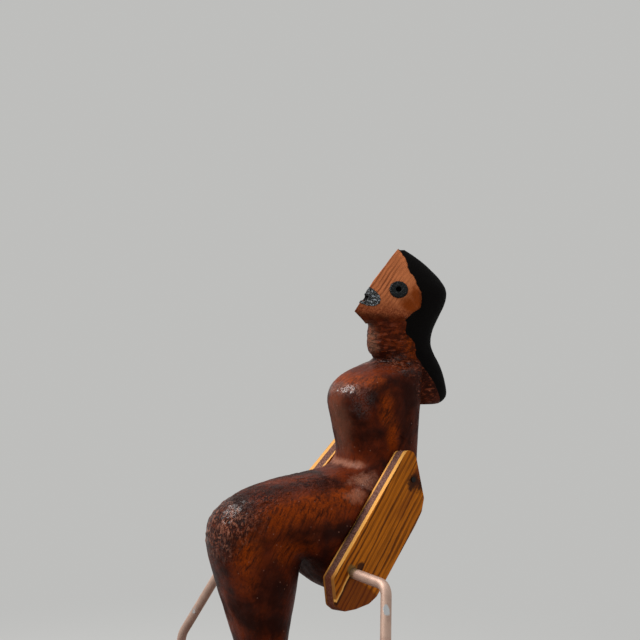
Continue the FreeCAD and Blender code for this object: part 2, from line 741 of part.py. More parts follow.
# A smooth closed curve runs inside the corners that steer it, by this share of their distance from its middle
RING_SWELL = 6 / (4 + 2 * math.cos(2 * math.pi / RING_STEPS))


def smooth_ring(back, front, half_width, square):
    """The corners that steer a closed rounded section between two points of the middle plane."""
    middle = (back + front) * 0.5
    depth = (front - back) * 0.5
    corners = []
    for k in range(RING_STEPS):
        angle = 2 * math.pi * k / RING_STEPS
        c, s = math.cos(angle), math.sin(angle)
        across = half_width * RING_SWELL * math.copysign(abs(c) ** (2 / square), c)
        along = RING_SWELL * math.copysign(abs(s) ** (2 / square), s)
        corners.append(middle + X_AXIS * across + depth * along)
    return corners


def skinned(rings):
    """A solid with one smooth skin over rings of corners and a flat cap at each end."""
    spans = len(rings) - 3
    skin = Part.BSplineSurface()
    skin.buildFromPolesMultsKnots(rings, [4] + [1] * (spans - 1) + [4], [1] * (RING_STEPS + 1),
                                  list(range(spans + 1)), list(range(RING_STEPS + 1)), False, True, 3, 3)
    side = skin.toShape()
    ends = [edge for edge in side.Edges if edge.isClosed()]
    caps = [Part.Face(Part.Wire(edge)) for edge in ends]
    shell = Part.Shell([side] + caps)
    shell.sewShape()
    solid = Part.Solid(shell)
    if solid.Volume < 0:
        solid.reverse()
    return solid


def section(back_y, back_z, front_y, front_z, half_width, square=2.1):
    """A section by two points of the carver's grid, each behind and above the hip axis."""
    return smooth_ring(drawn_at(back_y, back_z), drawn_at(front_y, front_z), half_width, square)


neck = size("neck_width") / 2
bust = size("bust_width") / 2
waist = size("waist_width") / 2
seat = size("hip_half_width")
knee = size("knee_width") / 2
ankle = size("ankle_width") / 2
sole = -size("sole_drop") / division

body_sections = [
    # neck, collar and chest
    section(39.5, 80.0, 26.2, 79.0, neck * 0.84),
    section(39.5, 74.5, 24.4, 74.0, neck * 0.95),
    section(39.5, 68.5, 24.3, 67.5, neck),
    section(40.5, 65.2, 24.9, 64.0, neck),
    section(41.3, 63.4, 29.2, 61.5, bust * 0.54),
    section(41.8, 61.4, 20.6, 58.9, bust * 0.78),
    section(41.7, 59.0, 13.3, 55.7, bust * 0.93),
    section(41.1, 53.0, 9.5, 51.0, bust * 1.01),
    section(40.4, 45.0, 11.0, 45.0, bust * 0.96),
    section(39.9, 38.5, 12.8, 38.0, (bust + waist) / 2),
    section(39.3, 31.5, 14.3, 31.5, waist),
    # lap, seat and thighs
    section(37.5, 19.0, 13.0, 27.9, (waist + seat) / 2 * 0.97, 2.3),
    section(30.5, 3.0, 7.5, 27.0, seat * 0.93, 2.5),
    section(19.5, -10.5, 1.5, 26.4, seat * 1.01, 2.7),
    section(9.5, -13.5, -4.5, 25.8, seat * 1.01, 2.7),
    section(1.0, -7.5, -10.5, 25.1, seat * 0.93, 2.6),
    section(-3.2, -2.0, -17.3, 23.9, (seat + knee) / 2, 2.4),
    section(-4.3, 0.0, -24.4, 22.2, knee * 1.1, 2.3),
    # knees and shins
    section(-5.2, 0.3, -30.8, 18.6, knee * 1.03, 2.3),
    section(-5.7, -0.5, -34.8, 13.0, knee, 2.3),
    section(-6.1, -2.5, -34.3, 4.8, knee, 2.3),
    section(-7.0, -5.5, -31.9, -2.5, knee * 0.99, 2.3),
    section(-8.4, -12.0, -29.3, -10.5, knee * 0.96, 2.3),
    section(-10.5, -20.0, -26.1, -19.5, (2 * knee + ankle) / 3, 2.3),
    section(-11.5, -27.0, -23.7, -27.0, (knee + 2 * ankle) / 3, 2.3),
    # ankles and feet
    section(-11.7, -38.0, -21.1, -38.0, ankle, 2.3),
    section(-11.0, -44.0, -21.5, -43.0, ankle * 0.97, 2.3),
    section(-9.5, sole + 5.5, -25.5, sole + 9.0, ankle * 1.03, 2.4),
    section(-9.3, sole, -32.0, sole, ankle * 1.08, 2.6),
]
carving = skinned(body_sections)

# Head: a ridge from apex to nose and on to the chin, and on each cheek plane the corners down the ridge
# and back from it
apex = drawn_at(35.3, 98.7)
nose = drawn_at(25.2, 88.0)
chin = drawn_at(17.8, 78.1)
throat = drawn_at(22.2, 74.1)
nape_top = drawn_at(43.0, 92.0)
nape_bottom = drawn_at(41.0, 74.0)
CHEEK_CORNERS = {"hairline": (8.6, 14.1), "cheekbone": (13.5, 17.8), "jaw": (19.6, 16.4)}


def in_front_of(slope):
    """The direction in the middle plane that points forward, square to a slope of the face."""
    ahead = slope.cross(X_AXIS)
    return -ahead if ahead.y > 0 else ahead


ridge = (nose - apex).normalize()
forward = in_front_of(ridge)
lip_ridge = (chin - nose).normalize()
lip_forward = in_front_of(lip_ridge)
mouth_middle = nose + lip_ridge * size("mouth_down")


def head_point(down, back, out=0.0, side=1):
    """A point on a cheek: down the ridge, back along the cheek, and out from it."""
    angle = math.radians(size("cheek_angle"))
    rearward = X_AXIS * (side * math.sin(angle)) - forward * math.cos(angle)
    outward = X_AXIS * (side * math.cos(angle)) + forward * math.sin(angle)
    return apex + ridge * down + rearward * back + outward * out


def hull(points):
    """The convex solid with the given corners."""
    faces = []
    planes = []
    for a in points:
        for b in points:
            for c in points:
                normal = (b - a).cross(c - a)
                if normal.Length < 1e-6:
                    continue
                normal.normalize()
                if any((q - a).dot(normal) > 1e-6 for q in points):
                    continue
                if any(normal.dot(known) > 1 - 1e-9 for known in planes):
                    continue
                planes.append(Vector(normal))
                flat = [q for q in points if abs((q - a).dot(normal)) < 1e-6]
                middle = Vector()
                for q in flat:
                    middle += q * (1.0 / len(flat))
                start = (flat[0] - middle).normalize()
                aside = normal.cross(start)
                flat.sort(key=lambda q: math.atan2((q - middle).dot(aside), (q - middle).dot(start)))
                faces.append(Part.Face(Part.makePolygon(flat + [flat[0]])))
    solid = Part.Solid(Part.Shell(faces))
    if solid.Volume < 0:
        solid.reverse()
    return solid


head_corners = [apex, nose, chin, throat, nape_top, nape_bottom]
for side in (-1, 1):
    head_corners += [head_point(down * division, back * division, 0.0, side)
                     for down, back in CHEEK_CORNERS.values()]
wedge = hull(head_corners)


def lip_prism(lead, front):
    """The space between two planes that lie lead in front of the cheeks, cut off flat ahead of the ridge."""
    widening = math.tan(math.radians(size("cheek_angle")))
    above = nose - lip_ridge * BEYOND
    narrow = X_AXIS * ((lead - front) * widening)
    wide = X_AXIS * ((lead + BEYOND) * widening)
    section_front = above + lip_forward * front
    section_back = above - lip_forward * BEYOND
    trapezium = Part.makePolygon([section_front + narrow, section_back + wide, section_back - wide,
                                  section_front - narrow, section_front + narrow])
    return Part.Face(trapezium).extrude(lip_ridge * 2 * BEYOND)


def mouth_notch():
    """The opening of the mouth: a straight wall under the upper lip and a lower lip that slopes outwards."""
    clear = lip_forward * size("mouth_height")
    lower = mouth_middle + lip_ridge * size("lower_lip_height")
    corners = [mouth_middle + clear, mouth_middle - lip_forward * size("mouth_opening"),
               lower - lip_forward * size("lower_lip_back"), lower + clear, mouth_middle + clear]
    notch = Part.Face(Part.makePolygon(corners)).extrude(X_AXIS * 2 * size("mouth_width"))
    notch.translate(X_AXIS * -size("mouth_width"))
    return notch


hair = size("hair_width") / 2


def hair_section(up, front_y, back_y, half_width):
    """A level section through the hair, at a height above the hip axis."""
    return section(back_y, up, front_y, up, half_width, 2.3)


hair_mass = skinned([
    # crown
    hair_section(98.2, 35.4, 37.6, hair * 0.08),
    hair_section(96.4, 34.9, 40.5, hair * 0.26),
    hair_section(94.2, 34.4, 43.6, hair * 0.42),
    hair_section(91.4, 34.0, 47.1, hair * 0.62),
    hair_section(88.0, 34.4, 50.5, hair * 0.84),
    hair_section(84.3, 35.0, 52.4, hair * 0.98),
    hair_section(79.8, 34.0, 51.0, hair * 1.0),
    # below the ears
    hair_section(76.4, 31.0, 49.0, hair * 0.95),
    hair_section(73.0, 31.0, 47.2, hair * 0.85),
    hair_section(69.5, 32.4, 45.9, hair * 0.78),
    hair_section(65.8, 33.2, 45.9, hair * 0.74),
    hair_section(61.5, 34.0, 48.7, hair * 0.82),
    hair_section(57.5, 34.0, 50.7, hair * 0.88),
    # over the shoulders
    hair_section(52.5, 34.0, 52.4, hair * 0.93),
    hair_section(49.4, 34.0, 53.1, hair * 0.91),
    hair_section(47.8, 34.0, 51.6, hair * 0.86),
    hair_section(47.2, 34.0, 49.8, hair * 0.8),
])

carving = carving.fuse(wedge).fuse(hair_mass)

# Flat seats for the hip plates: past the strip's upper end and a little in front of its front edge
for strip in strips.values():
    turned, facing = strip.frame()
    room = Part.makeBox(size("plate_length") + 3 * size("seat_margin"), BEYOND, BEYOND)
    if facing < 0:
        room.translate(Vector(0, 0, -BEYOND))
    corner = strip.point(-size("seat_margin"), -size("seat_lead"))
    room.Placement = Placement(corner, turned).multiply(room.Placement)
    carving = carving.cut(room)

# Sockets for the rods' ends and holes for the hip pins
for strip in strips.values():
    inner = hip + X_AXIS * (strip.side * (size("hip_half_width") - size("rod_tail") - size("socket_room")))
    outer = hip + X_AXIS * (strip.side * BEYOND)
    carving = carving.cut(rod_between(inner, outer, 2 * running_hole))
carving = carving.cut(Part.makeCompound(hip_pins))

# Saw cut between the feet and the holes for the ankle pins
slot = size("foot_slot")
saw_cut = Part.makeBox(slot, 2 * BEYOND, size("foot_slot_height") + size("sole_clearance"),
                       Vector(-slot / 2, link_y - BEYOND, deck_top))
pin_inner = size("link_thick") / 2 + size("pin_gap")
foot_pins = [rod_between(Vector(side * pin_inner, link_y, foot_pin_up),
                         Vector(side * size("ankle_width"), link_y, foot_pin_up), size("pin_thick"))
             for side in (-1, 1)]
carving = carving.cut(saw_cut)
outer_skin = carving
carving = carving.cut(Part.makeCompound(foot_pins))

# Eyes: a pit in each cheek and a flat ring of lacquer round it
eye_rings = {}
for name, side in (("left", 1), ("right", -1)):
    seat_point = head_point(size("eye_down"), size("eye_back"), 0.0, side)
    outward = head_point(size("eye_down"), size("eye_back"), 1.0, side) - seat_point
    ring = Part.makeCone(size("eye_width") / 2, size("eye_width") / 2 - size("eye_thick") * 0.7,
                         size("eye_thick"), seat_point, outward)
    pit_depth = size("eye_pit_depth")
    pit = Part.makeCylinder(size("eye_pit") / 2, pit_depth + 2 * size("eye_thick"),
                            seat_point - outward * pit_depth, outward)
    eye_rings[name] = ring.cut(pit)
    carving = carving.cut(pit)

# Lips: a raised pad that wraps round the ridge, with the notch of the open mouth in its middle
carving = carving.cut(mouth_notch())
lead = size("mouth_thick") / math.sin(math.radians(size("cheek_angle")))
oval = Part.Ellipse(Vector(), size("mouth_width") / 2, size("mouth_height") / 2)
oval = Part.Face(Part.Wire(oval.toShape()))
oval.Placement = Placement(mouth_middle - lip_forward * size("mouth_width"),
                           Rotation(X_AXIS, lip_ridge, lip_forward, "ZXY"))
lips = oval.extrude(lip_forward * 2 * size("mouth_width")).common(lip_prism(lead, size("mouth_front")))
lips = lips.cut(mouth_notch()).cut(outer_skin)


def largest(shape):
    """The largest solid of a shape."""
    return max(shape.Solids, key=lambda solid: solid.Volume)


shaped("carved_figure", largest(carving))
shaped("eye_ring_left", eye_rings["left"])
shaped("eye_ring_right", eye_rings["right"])
shaped("mouth", largest(lips))
shaped("foot_pins", Part.makeCompound([p.common(outer_skin) for p in foot_pins]))

doc.recompute()

# Every object must be sound before anything is written
for item in doc.Objects:
    if "Invalid" in item.State or "Error" in item.State:
        raise RuntimeError("failed: " + item.Label)
for piece in pieces:
    if piece.Shape.isNull() or not piece.Shape.isValid() or not piece.Shape.Solids:
        raise RuntimeError("unsound piece: " + piece.Label)

os.makedirs("parts", exist_ok=True)
for piece in pieces:
    piece.Shape.exportStep("parts/" + piece.Label + ".step")
    print("%-24s solids %d volume %.1f" % (piece.Label, len(piece.Shape.Solids), piece.Shape.Volume))
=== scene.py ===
"""Dresses a hand-cranked rocking figure: a carved and varnished seated figure with striped plywood strips on
its hips, copper-coated rods, an open wooden box with a crank, and a plain pale floor under soft light."""

import math

import bmesh
import bpy
from bpy.props import FloatProperty, FloatVectorProperty, IntProperty, PointerProperty
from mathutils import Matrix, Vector, noise


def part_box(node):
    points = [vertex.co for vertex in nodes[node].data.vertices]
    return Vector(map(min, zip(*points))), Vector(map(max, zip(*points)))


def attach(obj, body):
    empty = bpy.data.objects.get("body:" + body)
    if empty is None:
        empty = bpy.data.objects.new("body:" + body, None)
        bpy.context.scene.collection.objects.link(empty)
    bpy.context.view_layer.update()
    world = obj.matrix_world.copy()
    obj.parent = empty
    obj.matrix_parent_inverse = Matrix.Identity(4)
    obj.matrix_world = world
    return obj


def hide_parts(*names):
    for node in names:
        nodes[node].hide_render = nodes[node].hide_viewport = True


bl_info = {
    "name": "Rocking Figure",
    "version": (1, 0, 0),
    "blender": (4, 5, 0),
    "location": "3D Viewport > Sidebar > Rocking Figure",
    "description": "Carves, varnishes and lights a hand-cranked rocking figure",
    "category": "Object",
}

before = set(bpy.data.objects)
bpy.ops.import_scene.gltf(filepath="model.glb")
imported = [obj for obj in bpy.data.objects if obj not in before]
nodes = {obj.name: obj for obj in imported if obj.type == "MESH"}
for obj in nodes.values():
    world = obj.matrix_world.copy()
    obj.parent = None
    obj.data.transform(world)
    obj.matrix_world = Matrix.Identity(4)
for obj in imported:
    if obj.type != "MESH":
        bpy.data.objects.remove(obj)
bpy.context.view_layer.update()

MM = 0.001
PER_METRE = 1000.0
AXES = {"x": Vector((1, 0, 0)), "y": Vector((0, 1, 0)), "z": Vector((0, 0, 1))}


def colour(name, description, value):
    """A colour that a user can change."""
    return FloatVectorProperty(name=name, description=description, subtype="COLOR", size=3, min=0, max=1,
                               default=value)


def length(name, description, value):
    """A length in metres that a user can change."""
    return FloatProperty(name=name, description=description, unit="LENGTH", precision=5, min=0, default=value)


# Settings


class FigureSettings(bpy.types.PropertyGroup):
    """Carving, stain and paint of the figure."""

    # Also laid as a painted shadow under the seat
    stain_dark: colour("Dark stain", "Stain where it lies thickest", (0.024, 0.0052, 0.0028))
    stain_red: colour("Red-brown stain", "Stain over most of the body", (0.118, 0.0165, 0.0034))
    stain_orange: colour("Thin stain", "Stain where it is thin and the wood shows", (0.3, 0.046, 0.002))
    # Laid for rubbed varnish, and also as the figure's painted highlights, painted sheen and painted glints
    worn: colour("Worn varnish", "Rubbed patches at the waist and the hips", (0.46, 0.19, 0.115))
    tan: colour("Bare throat", "Front of the neck, where hardly any stain took", (0.22, 0.105, 0.062))
    face: colour("Face", "Bare varnished wood of the face", (0.64, 0.2, 0.072))
    face_lines: colour("Face grain", "Grain lines of the face", (0.15, 0.034, 0.011))
    cheek: colour("Cheek", "Orange stain of the cheek", (0.19, 0.032, 0.0015))
    paint: colour("Hair paint", "Matt black paint", (0.0042, 0.0034, 0.0032))
    lacquer: colour("Lacquer", "Black lacquer of the eyes and the mouth", (0.0045, 0.006, 0.0065))
    # Pale specks painted into the mouth's lacquer as glints
    painted_glint: colour("Glitter", "Specks that shine in the mouth's lacquer", (0.6, 0.66, 0.7))
    carving_detail: IntProperty(name="Carving detail", description="Fineness of the carved surface's mesh",
                                min=5, max=9, default=8)
    cut_depth: length("Knife cuts", "Depth of the carver's knife cuts", 0.16 * MM)
    lacquer_grain: length("Lacquer resolution", "Size of the lacquer's mesh", 0.16 * MM)


class StripSettings(bpy.types.PropertyGroup):
    """Three-ply strips, also used for the walls, the link and the crank arm."""

    gold: colour("Face veneer", "Varnished face veneer between its grain lines", (0.61, 0.17, 0.006))
    line: colour("Grain lines", "Dark grain lines of the face veneer", (0.055, 0.0095, 0.001))
    core: colour("Core", "Edge of the middle ply", (0.3, 0.145, 0.11))
    core_dark: colour("Core pores", "Pores in the edge of the middle ply", (0.12, 0.05, 0.036))
    # The veneers' pale edge, brightened as a painted highlight
    arris_and_highlight: colour("Arris", "Edge of the face veneers", (1.0, 0.5, 0.12))
    stained: colour("Stained corner", "Dark stain round the pin", (0.035, 0.009, 0.0035))
    # Below the split this is partly a painted shadow of the rod
    split_red: colour("Split end", "Wood below the split", (0.15, 0.026, 0.0035))
    residue: colour("Glue", "Glue round the rod", (0.2, 0.12, 0.035))
    line_gap: length("Grain spacing", "Usual distance between grain lines", 1.7 * MM)
    edge: length("Edge rounding", "Rounding of the sawn edges", 0.28 * MM)


class RodSettings(bpy.types.PropertyGroup):
    """Copper-coated rods and metal fittings."""

    copper: colour("Copper coating", "Dull copper coating of the rods", (0.6, 0.4, 0.31))
    copper_brown: colour("Brown coating", "Browned places of the coating", (0.3, 0.17, 0.12))
    copper_pale: colour("Pale coating", "Drawn marks of the coating", (0.62, 0.5, 0.44))
    bare: colour("Bare steel", "Steel where the coating has rubbed off", (0.66, 0.68, 0.7))
    glue: colour("Glue", "Glue at the rod's inner end", (0.2, 0.13, 0.05))
    brass: colour("Brass", "Turned brass", (0.62, 0.44, 0.17))
    steel: colour("Steel", "Ground steel", (0.5, 0.5, 0.5))
    black_iron: colour("Pins", "Blackened pins", (0.03, 0.026, 0.024))


class BoxSettings(bpy.types.PropertyGroup):
    """Box, link and handle below the figure."""

    stain: colour("Board stain", "Dark stain of the base and the deck", (0.085, 0.026, 0.012))
    stain_line: colour("Board grain", "Grain lines of the base and the deck", (0.02, 0.007, 0.004))
    bare_edge: colour("Rubbed edge", "Wood under the stain on rubbed edges", (0.23, 0.1, 0.045))
    beech: colour("Beech", "Bare beech of the discs", (0.48, 0.3, 0.165))
    beech_line: colour("Beech grain", "Grain lines of the beech", (0.33, 0.18, 0.085))
    edge: length("Board edges", "Rounding of the boards' edges", 0.45 * MM)
    small_edge: length("Small edges", "Rounding of the small pieces' edges", 0.25 * MM)


class StageSettings(bpy.types.PropertyGroup):
    """Floor, backdrop, lights and camera."""

    backdrop: colour("Backdrop", "Plain grey of the floor and the backdrop", (0.516, 0.516, 0.505))
    floor_reach: length("Floor", "Half the width of the floor", 6.0)
    key: FloatProperty(name="Key light", description="Power of the window light", unit="POWER", min=0,
                       default=8.0)
    top: FloatProperty(name="Top light", description="Power of the light overhead", unit="POWER", min=0,
                       default=2.4)
    ambient: FloatProperty(name="Ambient light", description="Brightness of the surroundings", min=0,
                           default=0.6)
    azimuth: FloatProperty(name="Azimuth", description="Camera's turn from the figure's front",
                           subtype="ANGLE", default=math.radians(57.6))
    elevation: FloatProperty(name="Elevation", description="Camera's height angle", subtype="ANGLE",
                             default=math.radians(2.0))
    distance: length("Distance", "Camera from the point that it aims at", 0.38)
    aim: FloatVectorProperty(name="Aim", description="Point in the middle of the picture", unit="LENGTH",
                             size=3, default=(0.0, 0.017, 0.2145))
    lens: FloatProperty(name="Lens", description="Focal length in millimetres", min=1, default=66.94)


class RockingFigureSettings(bpy.types.PropertyGroup):
    """All sizes and colours of the object and its stage."""

    figure: PointerProperty(type=FigureSettings)
    strip: PointerProperty(type=StripSettings)
    rod: PointerProperty(type=RodSettings)
    box: PointerProperty(type=BoxSettings)
    stage: PointerProperty(type=StageSettings)


def settings():
    """The scene's settings of this object."""
    return bpy.context.scene.rocking_figure


def rgba(value):
    """A colour with full opacity."""
    return (*value, 1.0)


# Node graphs


class Graph:
    """Nodes of one material, world or group, each wired as it is made."""

    def __init__(self, tree):
        self.tree = tree

    def feed(self, socket, value):
        """Wire another node's output to a socket, or set the socket's own value."""
        if isinstance(value, bpy.types.NodeSocket):
            self.tree.links.new(value, socket)
        elif value is not None:
            socket.default_value = value

    def wire(self, node, **inputs):
        """Feed a node's inputs by name."""
        for name, value in inputs.items():
            self.feed(node.inputs[name.replace("_", " ")], value)
        return node

    def add(self, kind, options=(), **inputs):
        """A node with its options and its inputs by name."""
        node = self.tree.nodes.new(kind)
        for name, value in dict(options).items():
            setattr(node, name, value)
        return self.wire(node, **inputs)

    def math(self, operation, a, b=None, clamp=False):
        """An operation on numbers."""
        node = self.add("ShaderNodeMath", {"operation": operation, "use_clamp": clamp})
        self.feed(node.inputs[0], a)
        self.feed(node.inputs[1], b)
        return node.outputs[0]

    def plus(self, a, b):
        """A sum."""
        return self.math("ADD", a, b)

    def minus(self, a, b):
        """A difference."""
        return self.math("SUBTRACT", a, b)

    def times(self, a, b, clamp=False):
        """A product."""
        return self.math("MULTIPLY", a, b, clamp)

    def inverse(self, a):
        """One divided by a number."""
        return self.math("DIVIDE", 1.0, a)

    def most(self, a, b):
        """The greater of two numbers."""
        return self.math("MAXIMUM", a, b)

    def vector(self, operation, a, b=None):
        """An operation on vectors."""
        node = self.add("ShaderNodeVectorMath", {"operation": operation})
        self.feed(node.inputs[0], a)
        self.feed(node.inputs[1], b)
        return node.outputs["Value" if operation in ("LENGTH", "DOT_PRODUCT") else "Vector"]

    def scaled(self, a, scale):
        """A vector times a number."""
        node = self.add("ShaderNodeVectorMath", {"operation": "SCALE"}, Scale=scale)
        self.feed(node.inputs[0], a)
        return node.outputs["Vector"]

    def join(self, **parts):
        """A vector from its X, Y and Z."""
        return self.add("ShaderNodeCombineXYZ", **parts).outputs[0]

    def split(self, vector):
        """The three numbers of a vector."""
        return self.add("ShaderNodeSeparateXYZ", Vector=vector).outputs

    def mark(self, name, kind):
        """A mark that was laid on the mesh's points or faces."""
        return self.add("ShaderNodeAttribute", {"attribute_name": name}).outputs[kind]

    def between(self, value, low, high, to_low=0.0, to_high=1.0):
        """A number eased from one range to another."""
        node = self.add("ShaderNodeMapRange", {"interpolation_type": "SMOOTHSTEP"}, Value=value, From_Min=low,
                        From_Max=high, To_Min=to_low, To_Max=to_high)
        return node.outputs[0]

    def noise(self, place, scale, detail=3.0, roughness=0.55, distortion=0.0):
        """Smooth noise from 0 to 1."""
        node = self.add("ShaderNodeTexNoise", Vector=place, Scale=scale, Detail=detail, Roughness=roughness,
                        Distortion=distortion)
        return node.outputs["Fac"]

    def streaks(self, place, squeeze, *looks):
        """Noise that is squeezed by a factor along each axis, and so long where the factor is small."""
        return self.noise(self.vector("MULTIPLY", place, squeeze), *looks)

    def mix(self, share, a, b):
        """From one colour to another."""
        node = self.add("ShaderNodeMix", {"data_type": "RGBA", "clamp_factor": True})
        for index, value in ((0, share), (6, a), (7, b)):
            plain = hasattr(value, "__len__") and len(value) == 3
            self.feed(node.inputs[index], rgba(value) if plain else value)
        return node.outputs[2]

    def over(self, base, paint, mask, share=1.0):
        """A colour laid over another where a mask is, as thickly as the share says."""
        if share != 1.0:
            mask = self.times(mask, share)
        return self.mix(mask, base, paint)

    def use(self, group, **inputs):
        """A shared group with its own values."""
        node = self.add("ShaderNodeGroup", {"node_tree": bpy.data.node_groups[group]}, **inputs)
        return node.outputs


def new_group(name, inputs, outputs):
    """An empty shared group: its graph, what comes in and the node that puts out."""
    tree = bpy.data.node_groups.new(name, "ShaderNodeTree")
    for label, value in inputs.items():
        kind = "NodeSocketFloat" if isinstance(value, float) else "NodeSocketVector"
        socket = tree.interface.new_socket(label, in_out="INPUT", socket_type=kind)
        if value is not None:
            socket.default_value = value
    for label in outputs:
        tree.interface.new_socket(label, in_out="OUTPUT", socket_type="NodeSocketFloat")
    entry = tree.nodes.new("NodeGroupInput")
    leave = tree.nodes.new("NodeGroupOutput")
    return Graph(tree), entry.outputs, leave


def make_wood_grain():
    """Grain that runs along the place's X: lines a gap apart, fine fibres and their height."""
    g, given, leave = new_group("Wood grain", {"Place": None, "Line gap": 1.5, "Wander": 0.4},
                                ["Lines", "Fibres", "Height"])
    laid = g.scaled(given["Place"], g.inverse(given["Line gap"]))
    _, y, z = g.split(laid)
    drift = g.streaks(laid, (0.012, 0.28, 0.28), 1.0, 3.0, 0.5)
    shake = g.streaks(laid, (0.15, 1.0, 1.0), 1.0, 3.0, 0.6)
    turn = g.plus(y, g.times(z, 0.45))
    turn = g.plus(turn, g.times(drift, g.times(given["Wander"], 9.0)))
    turn = g.plus(turn, g.times(shake, g.times(given["Wander"], 3.0)))
    lines = g.between(g.math("SINE", g.times(turn, math.tau)), -0.35, 0.95)
    bold = g.between(g.streaks(laid, (0.03, 0.7, 0.7), 1.0, 2.0), 0.35, 0.6, 0.35, 1.0)
    lines = g.times(lines, bold)
    fibres = g.streaks(laid, (0.1, 4.0, 4.0), 1.0, 3.0, 0.65)
    g.wire(leave, Lines=lines, Fibres=g.between(fibres, 0.32, 0.68),
           Height=g.minus(fibres, g.times(lines, 0.5)))


def make_patch():
    """A ragged patch round a point."""
    g, given, leave = new_group("Patch", {"Place": None, "Middle": None, "Reach": (1, 1, 1), "Ragged": 0.3,
                                          "Softness": 0.4}, ["Mask"])
    away = g.vector("DIVIDE", g.vector("SUBTRACT", given["Place"], given["Middle"]), given["Reach"])
    wobble = g.minus(g.noise(given["Place"], 0.45, 4.0, 0.6), 0.5)
    far = g.plus(g.vector("LENGTH", away), g.times(wobble, g.times(given["Ragged"], 3.0)))
    inner = g.minus(1.0, given["Softness"])
    outer = g.plus(1.0, given["Softness"])
    g.wire(leave, Mask=g.between(far, inner, outer, 1.0, 0.0))


def make_wrinkles():
    """Crooked little wrinkles of crazed varnish, longer along Z."""
    g, given, leave = new_group("Wrinkles", {"Place": None, "Size": 2.0, "Stretch": 1.0}, ["Height", "Furrows"])
    squeeze = g.join(X=1.0, Y=1.0, Z=g.inverse(given["Stretch"]))
    place = g.scaled(g.vector("MULTIPLY", given["Place"], squeeze), g.inverse(given["Size"]))
    height = g.noise(place, 1.0, 3.0, 0.55, 1.4)
    g.wire(leave, Height=height, Furrows=g.between(height, 0.44, 0.56, 1.0, 0.0))


def make_varnish_nibs():
    """Dust caught in varnish: sparse little bumps."""
    g, given, leave = new_group("Varnish nibs", {"Place": None, "Gap": 2.0}, ["Height"])
    place = g.scaled(given["Place"], g.inverse(given["Gap"]))
    dots = g.add("ShaderNodeTexVoronoi", {"feature": "F1"}, Vector=place, Scale=1.0).outputs
    chosen = g.math("GREATER_THAN", g.split(dots["Color"])[0], 0.45)
    g.wire(leave, Height=g.times(g.between(dots["Distance"], 0.04, 0.14, 1.0, 0.0), chosen))


def make_slant_strokes():
    """Short dark brush strokes, long along a slanting line that climbs towards the back."""
    g, given, leave = new_group("Slant strokes", {"Place": None, "Width": 0.8, "Slope": (0.0, 0.5, 0.866)},
                                ["Strokes", "Specks"])
    place = g.scaled(given["Place"], g.inverse(given["Width"]))
    along = g.vector("DOT_PRODUCT", place, given["Slope"])
    drawn = g.vector("ADD", place, g.scaled(given["Slope"], g.times(along, -0.88)))
    g.wire(leave, Strokes=g.between(g.noise(drawn, 0.8, 3.0, 0.62, 0.3), 0.42, 0.7),
           Specks=g.between(g.noise(place, 1.5, 3.0, 0.65), 0.36, 0.64))


def make_edge_rub():
    """Where handling has rubbed an edge: the rounded rims of a piece, broken up by noise."""
    g, given, leave = new_group("Edge rub", {"Place": None, "Amount": 0.6}, ["Mask"])
    broken = g.between(g.noise(given["Place"], 0.35, 5.0, 0.65), 0.38, 0.62)
    g.wire(leave, Mask=g.times(g.times(g.mark("rim", "Fac"), broken), given["Amount"]))


def blank(owner):
    """The emptied node graph of a material or a world."""
    owner.use_nodes = True
    owner.node_tree.nodes.clear()
    return Graph(owner.node_tree)


def new_material(name):
    """A material: its graph, its surface shader and the place on the object in millimetres."""
    material = bpy.data.materials.new(name)
    g = blank(material)
    surface = g.add("ShaderNodeBsdfPrincipled")
    g.add("ShaderNodeOutputMaterial", Surface=surface.outputs[0])
    place = g.scaled(g.add("ShaderNodeTexCoord").outputs["Object"], PER_METRE)
    return material, g, surface, place


def emboss(g, surface, height):
    """Relief of the surface from a height in millimetres."""
    bump = g.add("ShaderNodeBump", Strength=1.0, Distance=MM, Height=height)
    g.wire(surface, Normal=bump.outputs[0])


# Finish of the figure

# Marks on the figure: middle and reach in millimetres, alike on both sides
THIN_STAIN = [
    ((4.0, 27.0, 195.2), (6.5, 4.0, 2.4)),
    ((9.5, 30.5, 195.0), (3.0, 3.5, 2.4)),
    ((14.0, 33.5, 186.0), (2.2, 2.2, 4.5)),
    ((14.0, 36.0, 178.0), (2.2, 2.0, 5.0)),
    ((7.5, 47.5, 205.5), (4.0, 2.6, 6.5)),
    ((14.5, -5.0, 156.0), (6.5, 9.5, 5.2)),
    ((11.0, -16.0, 147.0), (3.6, 4.2, 7.0)),
    ((16.0, 5.0, 158.0), (5.0, 8.0, 4.6)),
    ((16.4, 15.5, 160.2), (4.0, 6.0, 4.6)),
    ((9.6, -15.0, 142.0), (3.0, 3.0, 3.6)),
    ((13.0, -3.0, 146.0), (4.0, 5.0, 4.0)),
    ((12.0, 30.0, 112.0), (8.0, 30.0, 7.0)),
]
# Dark patches: thick stain on the body, and a painted shadow under the seat
THICK_STAIN_AND_SHADE = [
    ((16.0, 2.5, 150.0), (5.0, 9.0, 3.6)),
    ((11.5, 14.0, 164.8), (5.0, 6.0, 2.6)),
    ((6.5, 25.5, 181.0), (7.0, 4.0, 7.5)),
    ((14.0, 43.0, 186.0), (8.0, 6.4, 18.0)),
    ((12.5, -9.0, 133.0), (4.5, 5.0, 9.0)),
    ((7.0, -16.0, 126.0), (6.0, 5.0, 5.0)),
    ((9.0, 40.5, 202.5), (7.0, 4.0, 2.6)),
    # painted shadow under the seat and the thighs
    ((0.0, 20.0, 139.0), (30.0, 20.0, 9.5)),
    ((10.0, 51.0, 193.0), (6.0, 8.0, 9.0)),
]
# Rubbed varnish at the waist crease and the hips, made paler still by a painted highlight
PINK_WEAR_AND_SHEEN = [
    ((14.2, 24.5, 164.6), (3.2, 3.6, 2.2)),
    ((17.0, 20.0, 161.8), (1.6, 3.2, 3.0)),
    ((3.0, 25.6, 168.2), (7.5, 3.0, 0.9)),
]
